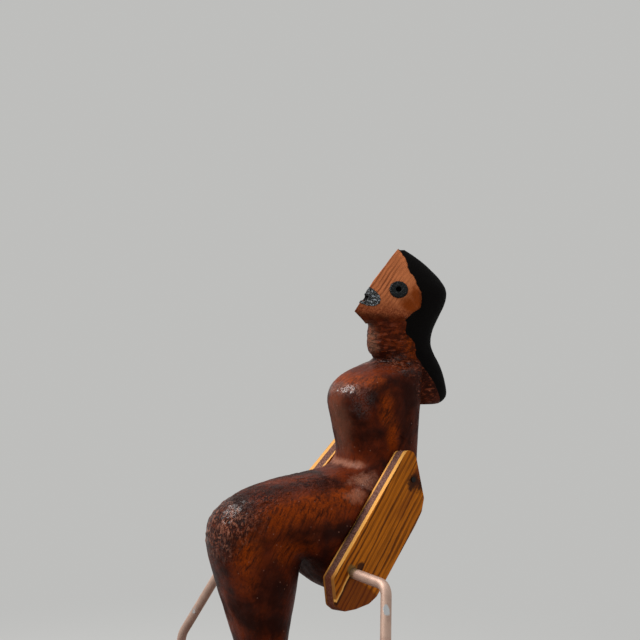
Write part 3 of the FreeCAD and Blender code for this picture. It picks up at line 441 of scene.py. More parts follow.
GLOSS = [
    ((4.6, 24.5, 191.8), (7.5, 3.6, 2.2)),
    ((9.8, 26.6, 188.8), (3.4, 3.4, 4.4)),
    ((3.5, -16.5, 156.0), (8.5, 8.5, 6.5)),
    ((5.0, -20.5, 149.5), (5.0, 4.0, 4.6)),
    ((9.0, 41.5, 199.6), (6.0, 4.0, 3.2)),
    ((13.5, 24.0, 164.0), (4.0, 4.0, 3.0)),
]
CRACKLE = [
    ((3.0, -17.0, 155.5), (11.0, 7.5, 7.5)),
    ((4.0, -20.0, 149.0), (7.5, 4.5, 5.0)),
    ((5.0, -9.0, 161.5), (6.5, 7.0, 3.0)),
    ((8.0, 8.0, 164.5), (6.0, 6.5, 2.4)),
]
# Pale painted highlights: the varnish's glints painted into the colour on the knee, the bust's crest and the
# neck
PAINTED_HIGHLIGHTS = [
    ((4.0, -18.5, 154.0), (8.5, 6.0, 5.5)),
    ((4.0, -21.0, 149.0), (5.5, 3.5, 4.0)),
    ((5.0, 24.6, 192.1), (6.5, 3.0, 1.3)),
    ((7.5, 42.0, 200.0), (5.0, 3.0, 2.2)),
]
# Painted sheen down the torso's front, in place of a grazing reflection
PAINTED_FRONT_SHEEN = [((0.0, 24.0, 181.0), (5.0, 4.0, 12.0))]
RASPED = [
    ((0.0, 42.0, 206.5), (16.0, 13.0, 7.0)),
    ((10.5, 45.0, 199.0), (6.0, 6.0, 3.6)),
    ((10.0, 51.0, 193.5), (5.0, 6.0, 7.0)),
]
THROAT = [((0.0, 35.5, 206.5), (3.6, 3.2, 6.5))]
CHEEK = [((10.4, 48.8, 221.4), (3.4, 3.2, 5.4)), ((8.8, 46.4, 218.8), (3.4, 3.0, 2.6))]
EYE_PIT = ((4.3, 44.7, 224.1), (1.9, 1.9, 1.9))
MOUTH_REACH = (3.2, 2.3, 2.3)

# Direction of the face's ridge, down towards the mouth, and the way that it faces
RIDGE = (0.0, -0.6616, -0.7498)
RIDGE_OUT = (0.0, -0.7498, 0.6616)

# Height of the jaw: stained below the first number and bare face above the second, in millimetres
JAW_LINE = (218.0, 222.0)

# Front edge of the hair paint: how far back it lies at each height, in millimetres
HAIRLINE = [(184.0, 59.6), (187.4, 58.4), (190.2, 57.0), (193.2, 55.6), (195.1, 54.3), (197.5, 52.3),
            (198.8, 51.6), (200.2, 50.4), (202.4, 49.6), (205.2, 49.4), (206.6, 48.9), (208.7, 47.2),
            (209.9, 45.9), (213.2, 45.6), (214.6, 44.7), (215.7, 45.2), (216.9, 46.4), (217.5, 48.4),
            (218.3, 50.0), (220.7, 50.6), (223.6, 50.6), (225.6, 49.8), (228.2, 49.4), (230.0, 48.5),
            (234.5, 48.5), (238.0, 47.4)]
HAIR_NEAR = 40.0
HAIR_SPAN = 25.0
HAIR_END = 185.3


def patches(g, place, spots, ragged=0.45, softness=0.45):
    """Several patches as one mask."""
    total = None
    for middle, reach in spots:
        mask = g.use("Patch", Place=place, Middle=middle, Reach=reach, Ragged=ragged, Softness=softness)["Mask"]
        total = mask if total is None else g.most(total, mask)
    return total


def hair_mask(g, place):
    """Where the hair is painted: behind a slightly ragged line and above its lower end."""
    _, y, z = g.split(place)
    line = g.add("ShaderNodeFloatCurve")
    curve = line.mapping.curves[0]
    low, high = HAIRLINE[0][0], HAIRLINE[-1][0]
    while len(curve.points) < len(HAIRLINE):
        curve.points.new(0.5, 0.5)
    for point, (up, back) in zip(curve.points, HAIRLINE):
        point.location = ((up - low) / (high - low), (back - HAIR_NEAR) / HAIR_SPAN)
        point.handle_type = "AUTO"
    line.mapping.update()
    g.wire(line, Value=g.math("DIVIDE", g.minus(z, low), high - low, clamp=True))
    edge = g.plus(g.times(line.outputs[0], HAIR_SPAN), HAIR_NEAR)
    ragged = g.times(g.minus(g.noise(place, 0.8, 3.0), 0.5), 0.9)
    behind = g.minus(y, g.plus(edge, ragged))
    return g.times(g.between(behind, -0.12, 0.16), g.between(z, HAIR_END - 0.6, HAIR_END + 0.6))


def carved_finish(s, mouth):
    """Stain, varnish and paint of the carved figure; the mouth's middle is in millimetres."""
    material, g, surface, place = new_material("Stained and varnished carving")
    x, y, z = g.split(place)
    halved = g.join(X=g.math("ABSOLUTE", x), Y=y, Z=z)

    # stain: broad blotches, thin and thick patches, painted shadow under the seat, then short slanting strokes
    # through them
    blotch = g.noise(place, 0.085, 4.0, 0.6, 0.3)
    brushed = g.use("Slant strokes", Place=place, Width=0.72)
    fine = g.noise(place, 2.3, 3.0, 0.6)
    cloud = g.noise(place, 0.3, 3.0, 0.55)
    base = g.mix(g.between(blotch, 0.34, 0.58), s.stain_dark, s.stain_red)
    thin = g.most(patches(g, halved, THIN_STAIN, 0.6, 0.75), g.between(blotch, 0.5, 0.72, 0.0, 0.4))
    base = g.over(base, s.stain_orange, thin, g.between(brushed["Specks"], 0.0, 1.0, 0.45, 1.0))
    # thick stain, and a painted shadow under the seat
    thick = patches(g, halved, THICK_STAIN_AND_SHADE)
    base = g.over(base, s.stain_dark, thick, g.between(cloud, 0.3, 0.6, 0.95, 0.6))
    base = g.over(base, s.stain_dark, brushed["Strokes"], g.between(thin, 0.0, 0.8, 0.45, 0.85))

    # knee and lap: crazed varnish, dark in its cracks, with a pale painted highlight on its crests
    crackle = patches(g, halved, CRACKLE, 0.8, 0.6)
    wrinkles = g.use("Wrinkles", Place=place, Size=1.35, Stretch=1.8)
    base = g.over(base, s.stain_dark, crackle, g.times(wrinkles["Furrows"], 0.94))
    # pale painted highlight on the crests of the crazing, the bust and the neck
    painted_highlights = patches(g, halved, PAINTED_HIGHLIGHTS, 0.8, 0.8)
    base = g.over(base, s.worn, painted_highlights, g.between(wrinkles["Height"], 0.48, 0.66, 0.0, 0.6))

    # painted sheen down the front, wear and painted highlight at waist and hips, bare throat, dust with painted
    # glints
    base = g.over(base, s.worn, patches(g, place, PAINTED_FRONT_SHEEN, 0.3, 0.6), 0.2)
    # rubbed varnish with a pale painted highlight over it
    worn = patches(g, halved, PINK_WEAR_AND_SHEEN, 0.8, 0.9)
    base = g.over(base, s.worn, worn, g.between(fine, 0.3, 0.66, 0.4, 0.75))
    base = g.over(base, s.tan, patches(g, place, THROAT), 0.75)
    nibs = g.use("Varnish nibs", Place=place, Gap=2.0)["Height"]
    # pale painted glints on the dust nibs
    base = g.over(base, s.worn, nibs, 0.42)

    # neck: dark in the rasp's furrows, orange on their crests
    rasped = patches(g, halved, RASPED, 0.3, 0.4)
    furrows = g.streaks(place, (0.4, 0.4, 1.2), 1.0, 3.0, 0.6, 0.6)
    base = g.over(base, s.stain_dark, rasped, g.between(furrows, 0.42, 0.54, 0.6, 0.0))
    base = g.over(base, s.stain_orange, rasped, g.between(furrows, 0.5, 0.68, 0.0, 0.55))

    # face: bare wood with grain along the ridge, redder towards the jaw, orange at the cheek
    down = g.vector("DOT_PRODUCT", place, RIDGE)
    out = g.vector("DOT_PRODUCT", place, RIDGE_OUT)
    rings = g.use("Wood grain", Place=g.join(X=down, Y=out, Z=x), Line_gap=0.62, Wander=0.05)
    jaw = g.plus(z, g.times(y, 0.12))
    jaw = g.plus(jaw, g.times(g.minus(cloud, 0.5), 5.0))
    ridge = g.times(g.between(y, 40.0, 48.5, 0.85, 0.2), g.between(jaw, 222.5, 229.0, 0.3, 1.0))
    wood = g.over(s.face, s.face_lines, rings["Lines"], ridge)
    wood = g.over(wood, s.face_lines, rings["Fibres"], 0.45)
    reddish = g.between(jaw, 221.5, 228.0, 0.9, 0.0)
    wood = g.over(wood, s.stain_red, reddish, g.between(brushed["Specks"], 0.0, 1.0, 0.6, 1.0))
    wood = g.over(wood, s.cheek, patches(g, halved, CHEEK, 0.35, 0.5), 0.97)
    face = g.between(jaw, *JAW_LINE)
    base = g.over(base, wood, face)

    # paint: hair, and what is left of it in the eyes' pits and between the lips
    hair = hair_mask(g, place)
    pits = patches(g, halved, [EYE_PIT], 0.0, 0.1)
    lips = patches(g, place, [(mouth, MOUTH_REACH)], 0.1, 0.1)
    painted = g.most(hair, g.most(pits, lips))
    base = g.over(base, s.paint, painted)

    # sheen: thin varnish that shines where it is thick or rubbed, none over the paint
    shiny = patches(g, halved, GLOSS, 0.7, 0.6)
    coat = g.plus(g.times(shiny, g.between(fine, 0.44, 0.58, 0.04, 0.85)), g.times(nibs, 0.5))
    coat = g.times(coat, g.between(crackle, 0.0, 0.8, 1.0, 0.42))
    coat = g.plus(coat, g.between(cloud, 0.4, 0.65, 0.0, 0.04))
    coat = g.plus(coat, g.times(rasped, g.between(furrows, 0.55, 0.64, 0.0, 0.35)))
    dull = g.minus(g.between(fine, 0.3, 0.7, 0.36, 0.5), g.times(shiny, 0.16))
    dull = g.plus(dull, g.times(thick, 0.22))
    g.wire(surface, Base_Color=base, Roughness=g.plus(dull, g.times(painted, 0.3)),
           Coat_Weight=g.times(g.minus(1.0, painted), coat, clamp=True), Coat_Roughness=0.2,
           Specular_IOR_Level=0.045)

    # relief: strokes, crazing, rasp furrows, nibs of dust, all calmer on the face and the hair
    height = g.times(brushed["Strokes"], -0.05)
    height = g.plus(height, g.times(fine, g.between(shiny, 0.0, 1.0, 0.05, 0.5)))
    height = g.plus(height, g.times(g.times(crackle, wrinkles["Height"]), 1.1))
    height = g.plus(height, g.times(g.times(rasped, furrows), 0.9))
    height = g.plus(height, g.times(nibs, 0.05))
    height = g.times(height, g.minus(1.0, g.times(g.most(face, hair), 0.75)))
    height = g.plus(height, g.times(g.times(face, rings["Height"]), 0.07))
    emboss(g, surface, height)
    return material


def lacquer_finish(s, name, gloss, lump, painted_glint):
    """Black lacquer with brush lumps, so many millimetres high, and a share of pale specks painted in as
    glints.
    """
    material, g, surface, place = new_material(name)
    lumps = g.noise(place, 1.9, 3.0, 0.6)
    # pale painted glints in the lacquer
    base = g.over(s.lacquer, s.painted_glint, g.between(lumps, 0.55, 0.63), painted_glint)
    g.wire(surface, Base_Color=base, Roughness=g.between(lumps, 0.3, 0.7, 0.05, 0.25), Specular_IOR_Level=gloss)
    emboss(g, surface, g.times(lumps, lump))
    return material


# Finishes of wood

# Plywood: from the inner face to the core, to the core's far side and to the outer face, in millimetres
STRIP_PLIES = (0.95, 4.2, 6.0)
WALL_PLIES = (2.6, 6.4, 9.0)
LINK_PLIES = (1.1, 2.9, 4.0)
ARM_PLIES = (1.7, 4.3, 6.0)
PLY_BLUR = 0.08
VENEER_COAT = 0.06

# How much wider the walls' grain is than the strips', and the grain's slant across every plywood piece
WALL_GRAIN = 1.5
GRAIN_SLANT = 0.05

# Marks on the left strip, in millimetres: along from its upper end, across from its front edge, outwards
SPLIT_START = 43.7
SPLIT_ACROSS = 4.5
SPLIT_SLOPE = 0.095
WORN_END = (44.0, 49.0)
STRIP_STAINS = [
    ((7.6, 7.8, 6.0), (2.5, 2.3, 6.0)),
    ((5.6, 11.0, 6.0), (3.2, 1.3, 6.0)),
    ((40.4, 6.3, 6.0), (1.5, 1.2, 6.0)),
]
BROWN_CORNER = [((4.2, 8.4, 6.0), (4.4, 2.6, 6.0))]
GLUE_SPOT = [((43.0, 4.2, 6.0), (1.7, 1.6, 6.0))]


def grain_place(g):
    """A sawn piece's own place in millimetres: along its grain, across it and through it."""
    return g.scaled(g.mark("grain", "Vector"), PER_METRE)


def plywood_finish(name, s, plies, worn=False, wide=1.0):
    """Varnished plywood: striped face veneers and a darker core, by depth through the piece."""
    material, g, surface, _ = new_material(name)
    laid = grain_place(g)
    along, across, through = g.split(laid)
    slanted = g.join(X=along, Y=g.minus(across, g.times(along, GRAIN_SLANT)), Z=through)
    grain = g.use("Wood grain", Place=slanted, Line_gap=s.line_gap / MM * wide, Wander=0.3)
    cloud = g.streaks(laid, (0.3, 1.0, 1.0), 0.16, 3.0)
    face = g.over(s.gold, s.line, grain["Lines"], 0.86 / wide)
    face = g.over(face, s.line, grain["Fibres"], 0.42)
    face = g.over(face, s.split_red, g.between(cloud, 0.52, 0.7, 0.0, 0.4))

    # plies, from the inner face outwards, with the veneers' pale edges brightened by a painted highlight
    low, high, thick = plies
    ragged = g.plus(through, g.times(g.minus(g.noise(laid, 1.2), 0.5), 0.4))
    inside = g.times(g.between(ragged, low - PLY_BLUR, low + PLY_BLUR),
                     g.between(ragged, high - PLY_BLUR, high + PLY_BLUR, 1.0, 0.0))
    pores = g.streaks(laid, (1.0, 1.0, 0.6), 2.8, 4.0, 0.7)
    core = g.mix(g.between(pores, 0.42, 0.6), s.core_dark, s.core)
    edge = g.times(g.between(through, 0.02, 0.2), g.between(through, thick - 0.2, thick - 0.02, 1.0, 0.0))
    rub = g.most(g.use("Edge rub", Place=laid, Amount=1.0)["Mask"], g.times(edge, 0.8))
    if worn:
        rub = g.times(rub, g.between(along, 43.0, 49.0, 1.0, 0.3))
        rub = g.times(rub, g.between(across, 2.0, 9.0, 1.0, 0.25))
        face = g.over(face, s.split_red, edge, g.between(along, *WORN_END, 0.0, 0.85))
        core = g.over(core, s.split_red, g.between(along, *WORN_END, 0.0, 0.6))
    # pale veneer edges and rubbed rims, partly a painted highlight
    face = g.over(face, s.arris_and_highlight, rub)
    base = g.over(face, core, inside)
    height = g.plus(g.times(grain["Height"], 0.07), g.times(inside, g.times(pores, 0.3)))
    if worn:
        base, height = split_end(g, s, laid, thick, base, height)
    nibs = g.use("Varnish nibs", Place=laid, Gap=2.6)["Height"]
    g.wire(surface, Base_Color=base, Roughness=g.between(inside, 0.0, 1.0, 0.42, 0.6),
           Coat_Weight=g.between(inside, 0.0, 1.0, VENEER_COAT, VENEER_COAT * 0.2), Coat_Roughness=0.24,
           Specular_IOR_Level=0.06)
    emboss(g, surface, g.plus(height, g.times(nibs, 0.03)))
    return material


def split_end(g, s, laid, thick, base, height):
    """A strip's stains, and a crack from the rod's hole to its lower end, with the wood beside it set lower and
    darkened, partly by a painted shadow of the rod.
    """
    along, across, through = g.split(laid)
    bend = g.times(g.minus(g.noise(laid, 0.25, 2.0), 0.5), 0.7)
    path = g.minus(g.plus(across, bend), g.times(along, SPLIT_SLOPE))
    start = SPLIT_ACROSS - SPLIT_START * SPLIT_SLOPE
    under = g.times(g.between(through, thick - 1.8, thick - 1.2),
                    g.between(along, SPLIT_START - 0.6, SPLIT_START + 0.6))
    lip = g.times(g.between(path, start - 0.7, start - 0.4), g.between(path, start - 0.1, start, 1.0, 0.0))
    lip = g.times(lip, under)
    sunk_and_shaded = g.times(g.between(path, start, start + 0.15), under)
    gash = g.times(sunk_and_shaded, g.between(path, start + 0.25, start + 0.9, 1.0, 0.0))
    # below the split: darker wood where the veneer flaked, and partly a painted shadow of the rod
    base = g.over(base, s.split_red, sunk_and_shaded, 0.74)
    base = g.over(base, s.stained, gash, 0.9)
    # the crack's raised lip in the bright edge colour, partly a painted highlight
    base = g.over(base, s.arris_and_highlight, lip, 0.9)
    base = g.over(base, s.split_red, patches(g, laid, BROWN_CORNER, 0.4, 0.5), 0.8)
    base = g.over(base, s.residue, patches(g, laid, GLUE_SPOT, 0.4, 0.3), 0.8)
    base = g.over(base, s.stained, patches(g, laid, STRIP_STAINS, 0.6, 0.3), 0.92)
    height = g.minus(height, g.times(sunk_and_shaded, 0.3))
    return base, g.plus(height, g.times(lip, 0.15))


def board_finish(s):
    """Solid boards, stained dark and varnished, with rubbed edges."""
    material, g, surface, place = new_material("Stained board")
    grain = g.use("Wood grain", Place=grain_place(g), Line_gap=2.6, Wander=0.6)
    base = g.over(s.stain, s.stain_line, grain["Lines"], 0.75)
    base = g.over(base, s.bare_edge, g.between(g.noise(place, 0.04, 3.0), 0.35, 0.65), 0.3)
    base = g.over(base, s.stain_line, grain["Fibres"], 0.25)
    base = g.over(base, s.bare_edge, g.use("Edge rub", Place=place, Amount=0.85)["Mask"])
    g.wire(surface, Base_Color=base, Roughness=g.between(grain["Fibres"], 0.0, 1.0, 0.42, 0.56),
           Coat_Weight=0.35, Coat_Roughness=0.22)
    nibs = g.use("Varnish nibs", Place=place, Gap=3.4)["Height"]
    emboss(g, surface, g.plus(g.times(grain["Height"], 0.07), g.times(nibs, 0.03)))
    return material


def beech_finish(s):
    """Bare beech with short flecks."""
    material, g, surface, _ = new_material("Beech")
    laid = grain_place(g)
    grain = g.use("Wood grain", Place=laid, Line_gap=1.8, Wander=0.5)
    flecks = g.between(g.streaks(laid, (0.35, 1.4, 1.4), 1.6, 2.0), 0.6, 0.68)
    base = g.over(s.beech, s.beech_line, grain["Lines"], 0.6)
    base = g.over(base, s.beech_line, flecks, 0.5)
    g.wire(surface, Base_Color=base, Roughness=g.between(grain["Fibres"], 0.0, 1.0, 0.5, 0.68))
    emboss(g, surface, g.times(grain["Height"], 0.05))
    return material


def knob_finish(s):
    """The turned handle: the figure's stain, with turning rings and varnish."""
    material, g, surface, place = new_material("Stained turning")
    grain = g.use("Wood grain", Place=place, Line_gap=1.6, Wander=0.5)
    rings = g.noise(g.join(X=g.split(place)[0]), 2.4, 3.0, 0.7)
    base = g.over(s.stain_red, s.stain_dark, grain["Lines"], 0.8)
    base = g.over(base, s.stain_orange, g.between(g.noise(place, 0.16, 3.0), 0.45, 0.7, 0.0, 0.7))
    g.wire(surface, Base_Color=base, Roughness=0.42, Coat_Weight=0.9, Coat_Roughness=0.14)
    emboss(g, surface, g.plus(g.times(rings, 0.05), g.times(grain["Height"], 0.04)))
    return material


# Finishes of metal

# Marks on the rods: middle and reach in millimetres
ROD_GLUE = [((26.6, 12.5, 139.2), (2.0, 2.4, 2.2))]
RUBBED_ROD = [
    ((47.3, 9.3, 133.9), (0.9, 0.9, 2.8)),
    ((-56.2, -1.0, 110.3), (1.4, 1.4, 2.6)),
    ((61.0, -5.0, 92.0), (1.2, 1.2, 2.0)),
]

TARNISH = (0.05, 0.04, 0.035)
BLACK_TARNISH = (0.01, 0.008, 0.008)


def metal_finish(name, value, roughness, tarnished, tarnish=TARNISH):
    """Metal with fine scratches and a share of tarnish."""
    material, g, surface, place = new_material(name)
    cloud = g.between(g.noise(place, 0.5, 4.0, 0.65), 0.42, 0.68)
    scratches = g.streaks(place, (0.3, 3.0, 3.0), 2.2, 3.0, 0.7)
    g.wire(surface, Base_Color=g.over(value, tarnish, cloud, tarnished), Metallic=1.0,
           Roughness=g.between(scratches, 0.3, 0.7, roughness * 0.8, roughness * 1.3))
    emboss(g, surface, g.times(scratches, 0.012))
    return material


def copper_finish(s):
    """Dull copper coating with fine draw marks, dark specks and places rubbed through to the steel."""
    material, g, surface, place = new_material("Copper-coated rod")
    draw = g.streaks(place, (2.6, 2.6, 0.35), 1.5, 4.0, 0.65)
    cloud = g.between(g.noise(place, 0.3, 4.0, 0.6), 0.35, 0.7)
    specks = g.between(g.noise(place, 2.2, 2.0, 0.5), 0.66, 0.74)
    base = g.over(s.copper, s.copper_brown, cloud, 0.4)
    base = g.over(base, s.copper_pale, g.between(draw, 0.35, 0.65), 0.25)
    base = g.over(base, s.black_iron, specks, 0.5)
    base = g.over(base, s.glue, patches(g, place, ROD_GLUE, 0.5, 0.3), 0.8)
    rubbed = patches(g, place, RUBBED_ROD, 0.55, 0.25)
    g.wire(surface, Base_Color=g.over(base, s.bare, rubbed), Metallic=g.plus(g.times(rubbed, 0.45), 0.55),
           Roughness=g.minus(g.between(draw, 0.3, 0.7, 0.46, 0.6), g.times(rubbed, 0.36)),
           Specular_IOR_Level=0.3)
    emboss(g, surface, g.times(draw, 0.03))
    return material


# Shaping

JOIN_GAP = 0.002 * MM
FLAT_ANGLE = math.radians(0.6)
SHARP_ANGLE = math.radians(32)
EDGE_SEGMENTS = 2

# Direction of the strips' front edges, downwards
STRIP_SLOPE = Vector((0.0, -0.666, -0.746))

# Crease between the jaw and the neck, which the carver rounded: place and reach in millimetres
JAW_CREASE = [((side * x, y, z), reach) for side in (1, -1)
              for x, y, z, reach in ((4.6, 39.6, 213.6, 3.6), (6.9, 43.2, 213.0, 4.6), (8.4, 47.0, 213.0, 5.0))]
CREASE_EASING = 60
LACQUER_EASING = 4

# Sockets that the rods' ends turn in, which stay as they were drilled: points along them, in millimetres
SOCKETS = [(side * x, 12.5, 139.0) for side in (1, -1) for x in (14.0, 15.5, 17.0, 18.5, 20.0)]

# How far the knife stays away from the lacquer and the sockets
FACE_QUIET = 5.0 * MM
SOCKET_QUIET = 4.0 * MM

# Knife cuts: their size, and how they are squeezed along Z and wander
CUT_SIZE = 5.2 * MM
CUT_SQUEEZE = 0.62
CUT_WANDER = 0.35
DRIFT_STEPS = (Vector((9.3, -1.5, -8.0)), Vector((0.0, 0.0, 0.0)), Vector((6.3, 0.2, -2.7)))

# Relief besides the cuts, as waves per metre along X, Y and Z and a share of the cuts' depth
SWELL = 130.0
SWELL_SHARE = 0.9
RELIEF = [
    (CRACKLE, (620.0, 620.0, 620.0), 1.5),
    (GLOSS, (760.0, 760.0, 760.0), 0.85),
    (RASPED, (420.0, 420.0, 820.0), 2.0),
]
LACQUER_WAVES = 1300.0


def joined(node):
    """A CAD node's mesh with its loose triangles joined."""
    shape = bmesh.new()
    shape.from_mesh(nodes[node].data)
    bmesh.ops.remove_doubles(shape, verts=shape.verts, dist=JOIN_GAP)
    return shape


def made_whole(node):
    """A CAD node's mesh with its flat faces made whole."""
    shape = joined(node)
    bmesh.ops.dissolve_limit(shape, angle_limit=FLAT_ANGLE, verts=shape.verts, edges=shape.edges)
    return shape


def finished(shape, node, body, material):
    """A new object from a shape, at rest on its body, in place of a CAD node."""
    name = node + "_finished"
    mesh = bpy.data.meshes.new(name)
    shape.to_mesh(mesh)
    shape.free()
    piece = bpy.data.objects.new(name, mesh)
    bpy.context.scene.collection.objects.link(piece)
    mesh.materials.append(material)
    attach(piece, body)
    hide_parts(node)
    return piece


def lay_grain(piece, directions, shift):
    """Mark every point by its distance along and across the grain and through the piece."""
    mark = piece.data.attributes.new("grain", "FLOAT_VECTOR", "POINT")
    points = [vertex.co for vertex in piece.data.vertices]
    starts = [min(point.dot(way) for point in points) for way in directions]
    for point, value in zip(points, mark.data):
        away = [point.dot(way) - start for way, start in zip(directions, starts)]
        value.vector = (away[0] + shift, away[1], away[2])


def softened(node, body, material, width, directions, shift=0.0):
    """A CAD node with its sawn edges rounded, its rims marked for wear and its grain laid."""
    shape = made_whole(node)
    rim = shape.faces.layers.float.new("rim")
    sharp = [edge for edge in shape.edges if edge.is_manifold and edge.calc_face_angle() > SHARP_ANGLE]
    made = bmesh.ops.bevel(shape, geom=sharp, offset=width, offset_type="OFFSET", segments=EDGE_SEGMENTS,
                           profile=0.5, affect="EDGES", material=-1, clamp_overlap=True)
    for face in made["faces"]:
        face[rim] = 1.0
    for face in shape.faces:
        face.smooth = True
    piece = finished(shape, node, body, material)
    if isinstance(directions, str):
        directions = [AXES[letter] for letter in directions]
    lay_grain(piece, directions, shift)
    even = piece.modifiers.new("Even shading", "WEIGHTED_NORMAL")
    even.keep_sharp = True
    return piece


def strip_directions(node):
    """Directions of a hip strip: down its front edge, across it and outwards."""
    shape = made_whole(node)
    outer = [face for face in shape.faces if face.normal.x * face.calc_center_median().x > 0]
    outward = max(outer, key=lambda face: face.calc_area()).normal.copy()
    shape.free()
    along = (STRIP_SLOPE - outward * STRIP_SLOPE.dot(outward)).normalized()
    across = outward.cross(along).normalized()
    if across.y < 0:
        across = -across
    return along, across, outward


def meshed(piece):
    """Apply a piece's modifiers and smooth its shading."""
    graph = bpy.context.evaluated_depsgraph_get()
    mesh = bpy.data.meshes.new_from_object(piece.evaluated_get(graph))
    piece.modifiers.clear()
    piece.data = mesh
    for face in mesh.polygons:
        face.use_smooth = True


def ease(piece, rounds, group=""):
    """Smooth a piece, or one group of its points."""
    modifier = piece.modifiers.new("Ease", "SMOOTH")
    modifier.factor = 0.5
    modifier.iterations = rounds
    modifier.vertex_group = group


def evenly_meshed(piece, size):
    """Make a small piece's mesh even and round, as thick paint lies."""
    even = piece.modifiers.new("Even", "REMESH")
    even.mode = "VOXEL"
    even.voxel_size = size
    ease(piece, LACQUER_EASING)
    meshed(piece)


def crisply_meshed(piece, detail):
    """Make a piece's mesh even but keep its carved ridges, as if it were worked from one block."""
    even = piece.modifiers.new("Even", "REMESH")
    even.mode = "SHARP"
    even.octree_depth = detail
    even.scale = 0.95
    even.use_remove_disconnected = False
    meshed(piece)


def eased(piece, spots):
    """Round a piece's creases near the given points, whose places and reaches are in millimetres."""
    spots = [(Vector(spot) * MM, reach * MM) for spot, reach in spots]
    group = piece.vertex_groups.new(name="eased")
    for vertex in piece.data.vertices:
        near = max(1.0 - (vertex.co - spot).length / reach for spot, reach in spots)
        if near > 0.0:
            group.add([vertex.index], min(near * 1.6, 1.0), "REPLACE")
    ease(piece, CREASE_EASING, group.name)
    meshed(piece)
    piece.vertex_groups.clear()


def drift(place):
    """Smooth wandering of a point, by noise that is the same in every run."""
    return Vector([noise.noise(place + step) for step in DRIFT_STEPS])


def knife_cut(place):
    """Depth of flat overlapping knife cuts at a point, from 0 to about 1."""
    squeezed = Vector((place.x, place.y, place.z * CUT_SQUEEZE)) / CUT_SIZE
    bent = squeezed + drift(squeezed * 0.7) * CUT_WANDER
    distances, _ = noise.voronoi(bent, distance_metric="DISTANCE_SQUARED")
    return min(distances[0], 1.0)


def nearness(place, spots):
    """How far a point lies inside the nearest of several marks, from 0 to 1."""
    most = 0.0
    halved = Vector((abs(place.x), place.y, place.z)) / MM
    for middle, reach in spots:
        away = halved - Vector(middle)
        far = Vector([step / span for step, span in zip(away, reach)]).length
        most = max(most, min(1.0, (1.3 - far) / 0.6))
    return most


def carve(piece, depth, quiet):
    """Leave knife cuts, crazing and rasp furrows on a piece, except near the given points."""
    moves = []
    for vertex in piece.data.vertices:
        place = vertex.co
        calm = 1.0
        for spot, reach in quiet:
            calm = min(calm, max(0.0, (place - spot).length / reach - 0.6))
        move = depth * 0.5 - knife_cut(place) * depth * 1.5
        move += noise.noise(place * SWELL) * depth * SWELL_SHARE
        for spots, waves, share in RELIEF:
            near = nearness(place, spots)
            if near > 0.0:
                crest = Vector([step * wave for step, wave in zip(place, waves)])
                move += noise.noise(crest) * depth * share * near
        moves.append(vertex.normal * (move * calm))
    for vertex, move in zip(piece.data.vertices, moves):
        vertex.co += move
    piece.data.update()


def middle_of(node):
    """The middle of a CAD node's box."""
    low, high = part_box(node)
    return (low + high) / 2


def clad(material, *names):
    """Give CAD nodes that keep their own mesh a finish."""
    for name in names:
        nodes[name].data.materials[0] = material


# Stage

FLOOR_SIDES = 96

# The floor melts into the backdrop between these distances from the object, in metres
FLOOR_FADE = (0.2, 0.5)
AMBIENT_TINT = (0.98, 0.99, 1.0)
SENSOR_WIDTH = 36.0
CLIP_START = 0.01

# Lights: width in metres, direction from the figure and tint; their powers are in the settings
LIGHTS = {
    "key": (0.5, (-0.55, -0.45, 0.7), (1.0, 0.985, 0.96)),
    "top": (0.8, (-0.3, 0.2, 0.93), (0.97, 0.985, 1.0)),
}
LIGHT_DISTANCE = 1.0


def looked_at(g):
    """1 for rays that look at a surface, straight or by a mirror or glass, and 0 for those that light one."""
    path = g.add("ShaderNodeLightPath").outputs
    return g.most(path["Is Camera Ray"], g.most(path["Is Glossy Ray"], path["Is Transmission Ray"]))


def blend(g, output, share, first, second):
    """Put out one shader mixed with another."""
    both = g.add("ShaderNodeMixShader")
    for socket, value in zip(both.inputs, (share, first.outputs[0], second.outputs[0])):
        g.feed(socket, value)
    g.add(output, Surface=both.outputs[0])


def lay_floor(s):
    """Plain floor that takes the object's shadow near it and melts into the backdrop further out."""
    material = bpy.data.materials.new("Plain floor")
    g = blank(material)
    far = g.vector("LENGTH", g.add("ShaderNodeTexCoord").outputs["Object"])
    matt = g.add("ShaderNodeBsdfDiffuse", Color=rgba([part * 0.98 for part in s.backdrop]))
    plain = g.add("ShaderNodeEmission", Color=rgba(s.backdrop), Strength=1.0)
    share = g.times(g.between(far, *FLOOR_FADE), looked_at(g))
    blend(g, "ShaderNodeOutputMaterial", share, matt, plain)
    shape = bmesh.new()
    bmesh.ops.create_circle(shape, cap_ends=True, radius=s.floor_reach, segments=FLOOR_SIDES)
    mesh = bpy.data.meshes.new("floor")
    shape.to_mesh(mesh)
    shape.free()
    mesh.materials.append(material)
    floor = bpy.data.objects.new("floor", mesh)
    bpy.context.scene.collection.objects.link(floor)


def light_world(s):
    """Even surroundings: the backdrop's grey where they are seen, and plain light elsewhere."""
    world = bpy.data.worlds.new("Surroundings")
    bpy.context.scene.world = world
    g = blank(world)
    light = g.add("ShaderNodeBackground", Color=rgba(AMBIENT_TINT), Strength=s.ambient)
    shown = g.add("ShaderNodeBackground", Color=rgba(s.backdrop), Strength=1.0)
    blend(g, "ShaderNodeOutputWorld", looked_at(g), light, shown)


def add_light(s, name):
    """A square soft light that looks at the figure."""
    width, towards, tint = LIGHTS[name]
    lamp = bpy.data.lights.new(name, "AREA")
    lamp.energy = getattr(s, name)
    lamp.size = width
    lamp.color = tint
    place = bpy.data.objects.new(name, lamp)
    bpy.context.scene.collection.objects.link(place)
    aim = Vector(s.aim)
    place.location = aim + Vector(towards).normalized() * LIGHT_DISTANCE
    place.rotation_euler = (aim - place.location).to_track_quat("-Z", "Y").to_euler()


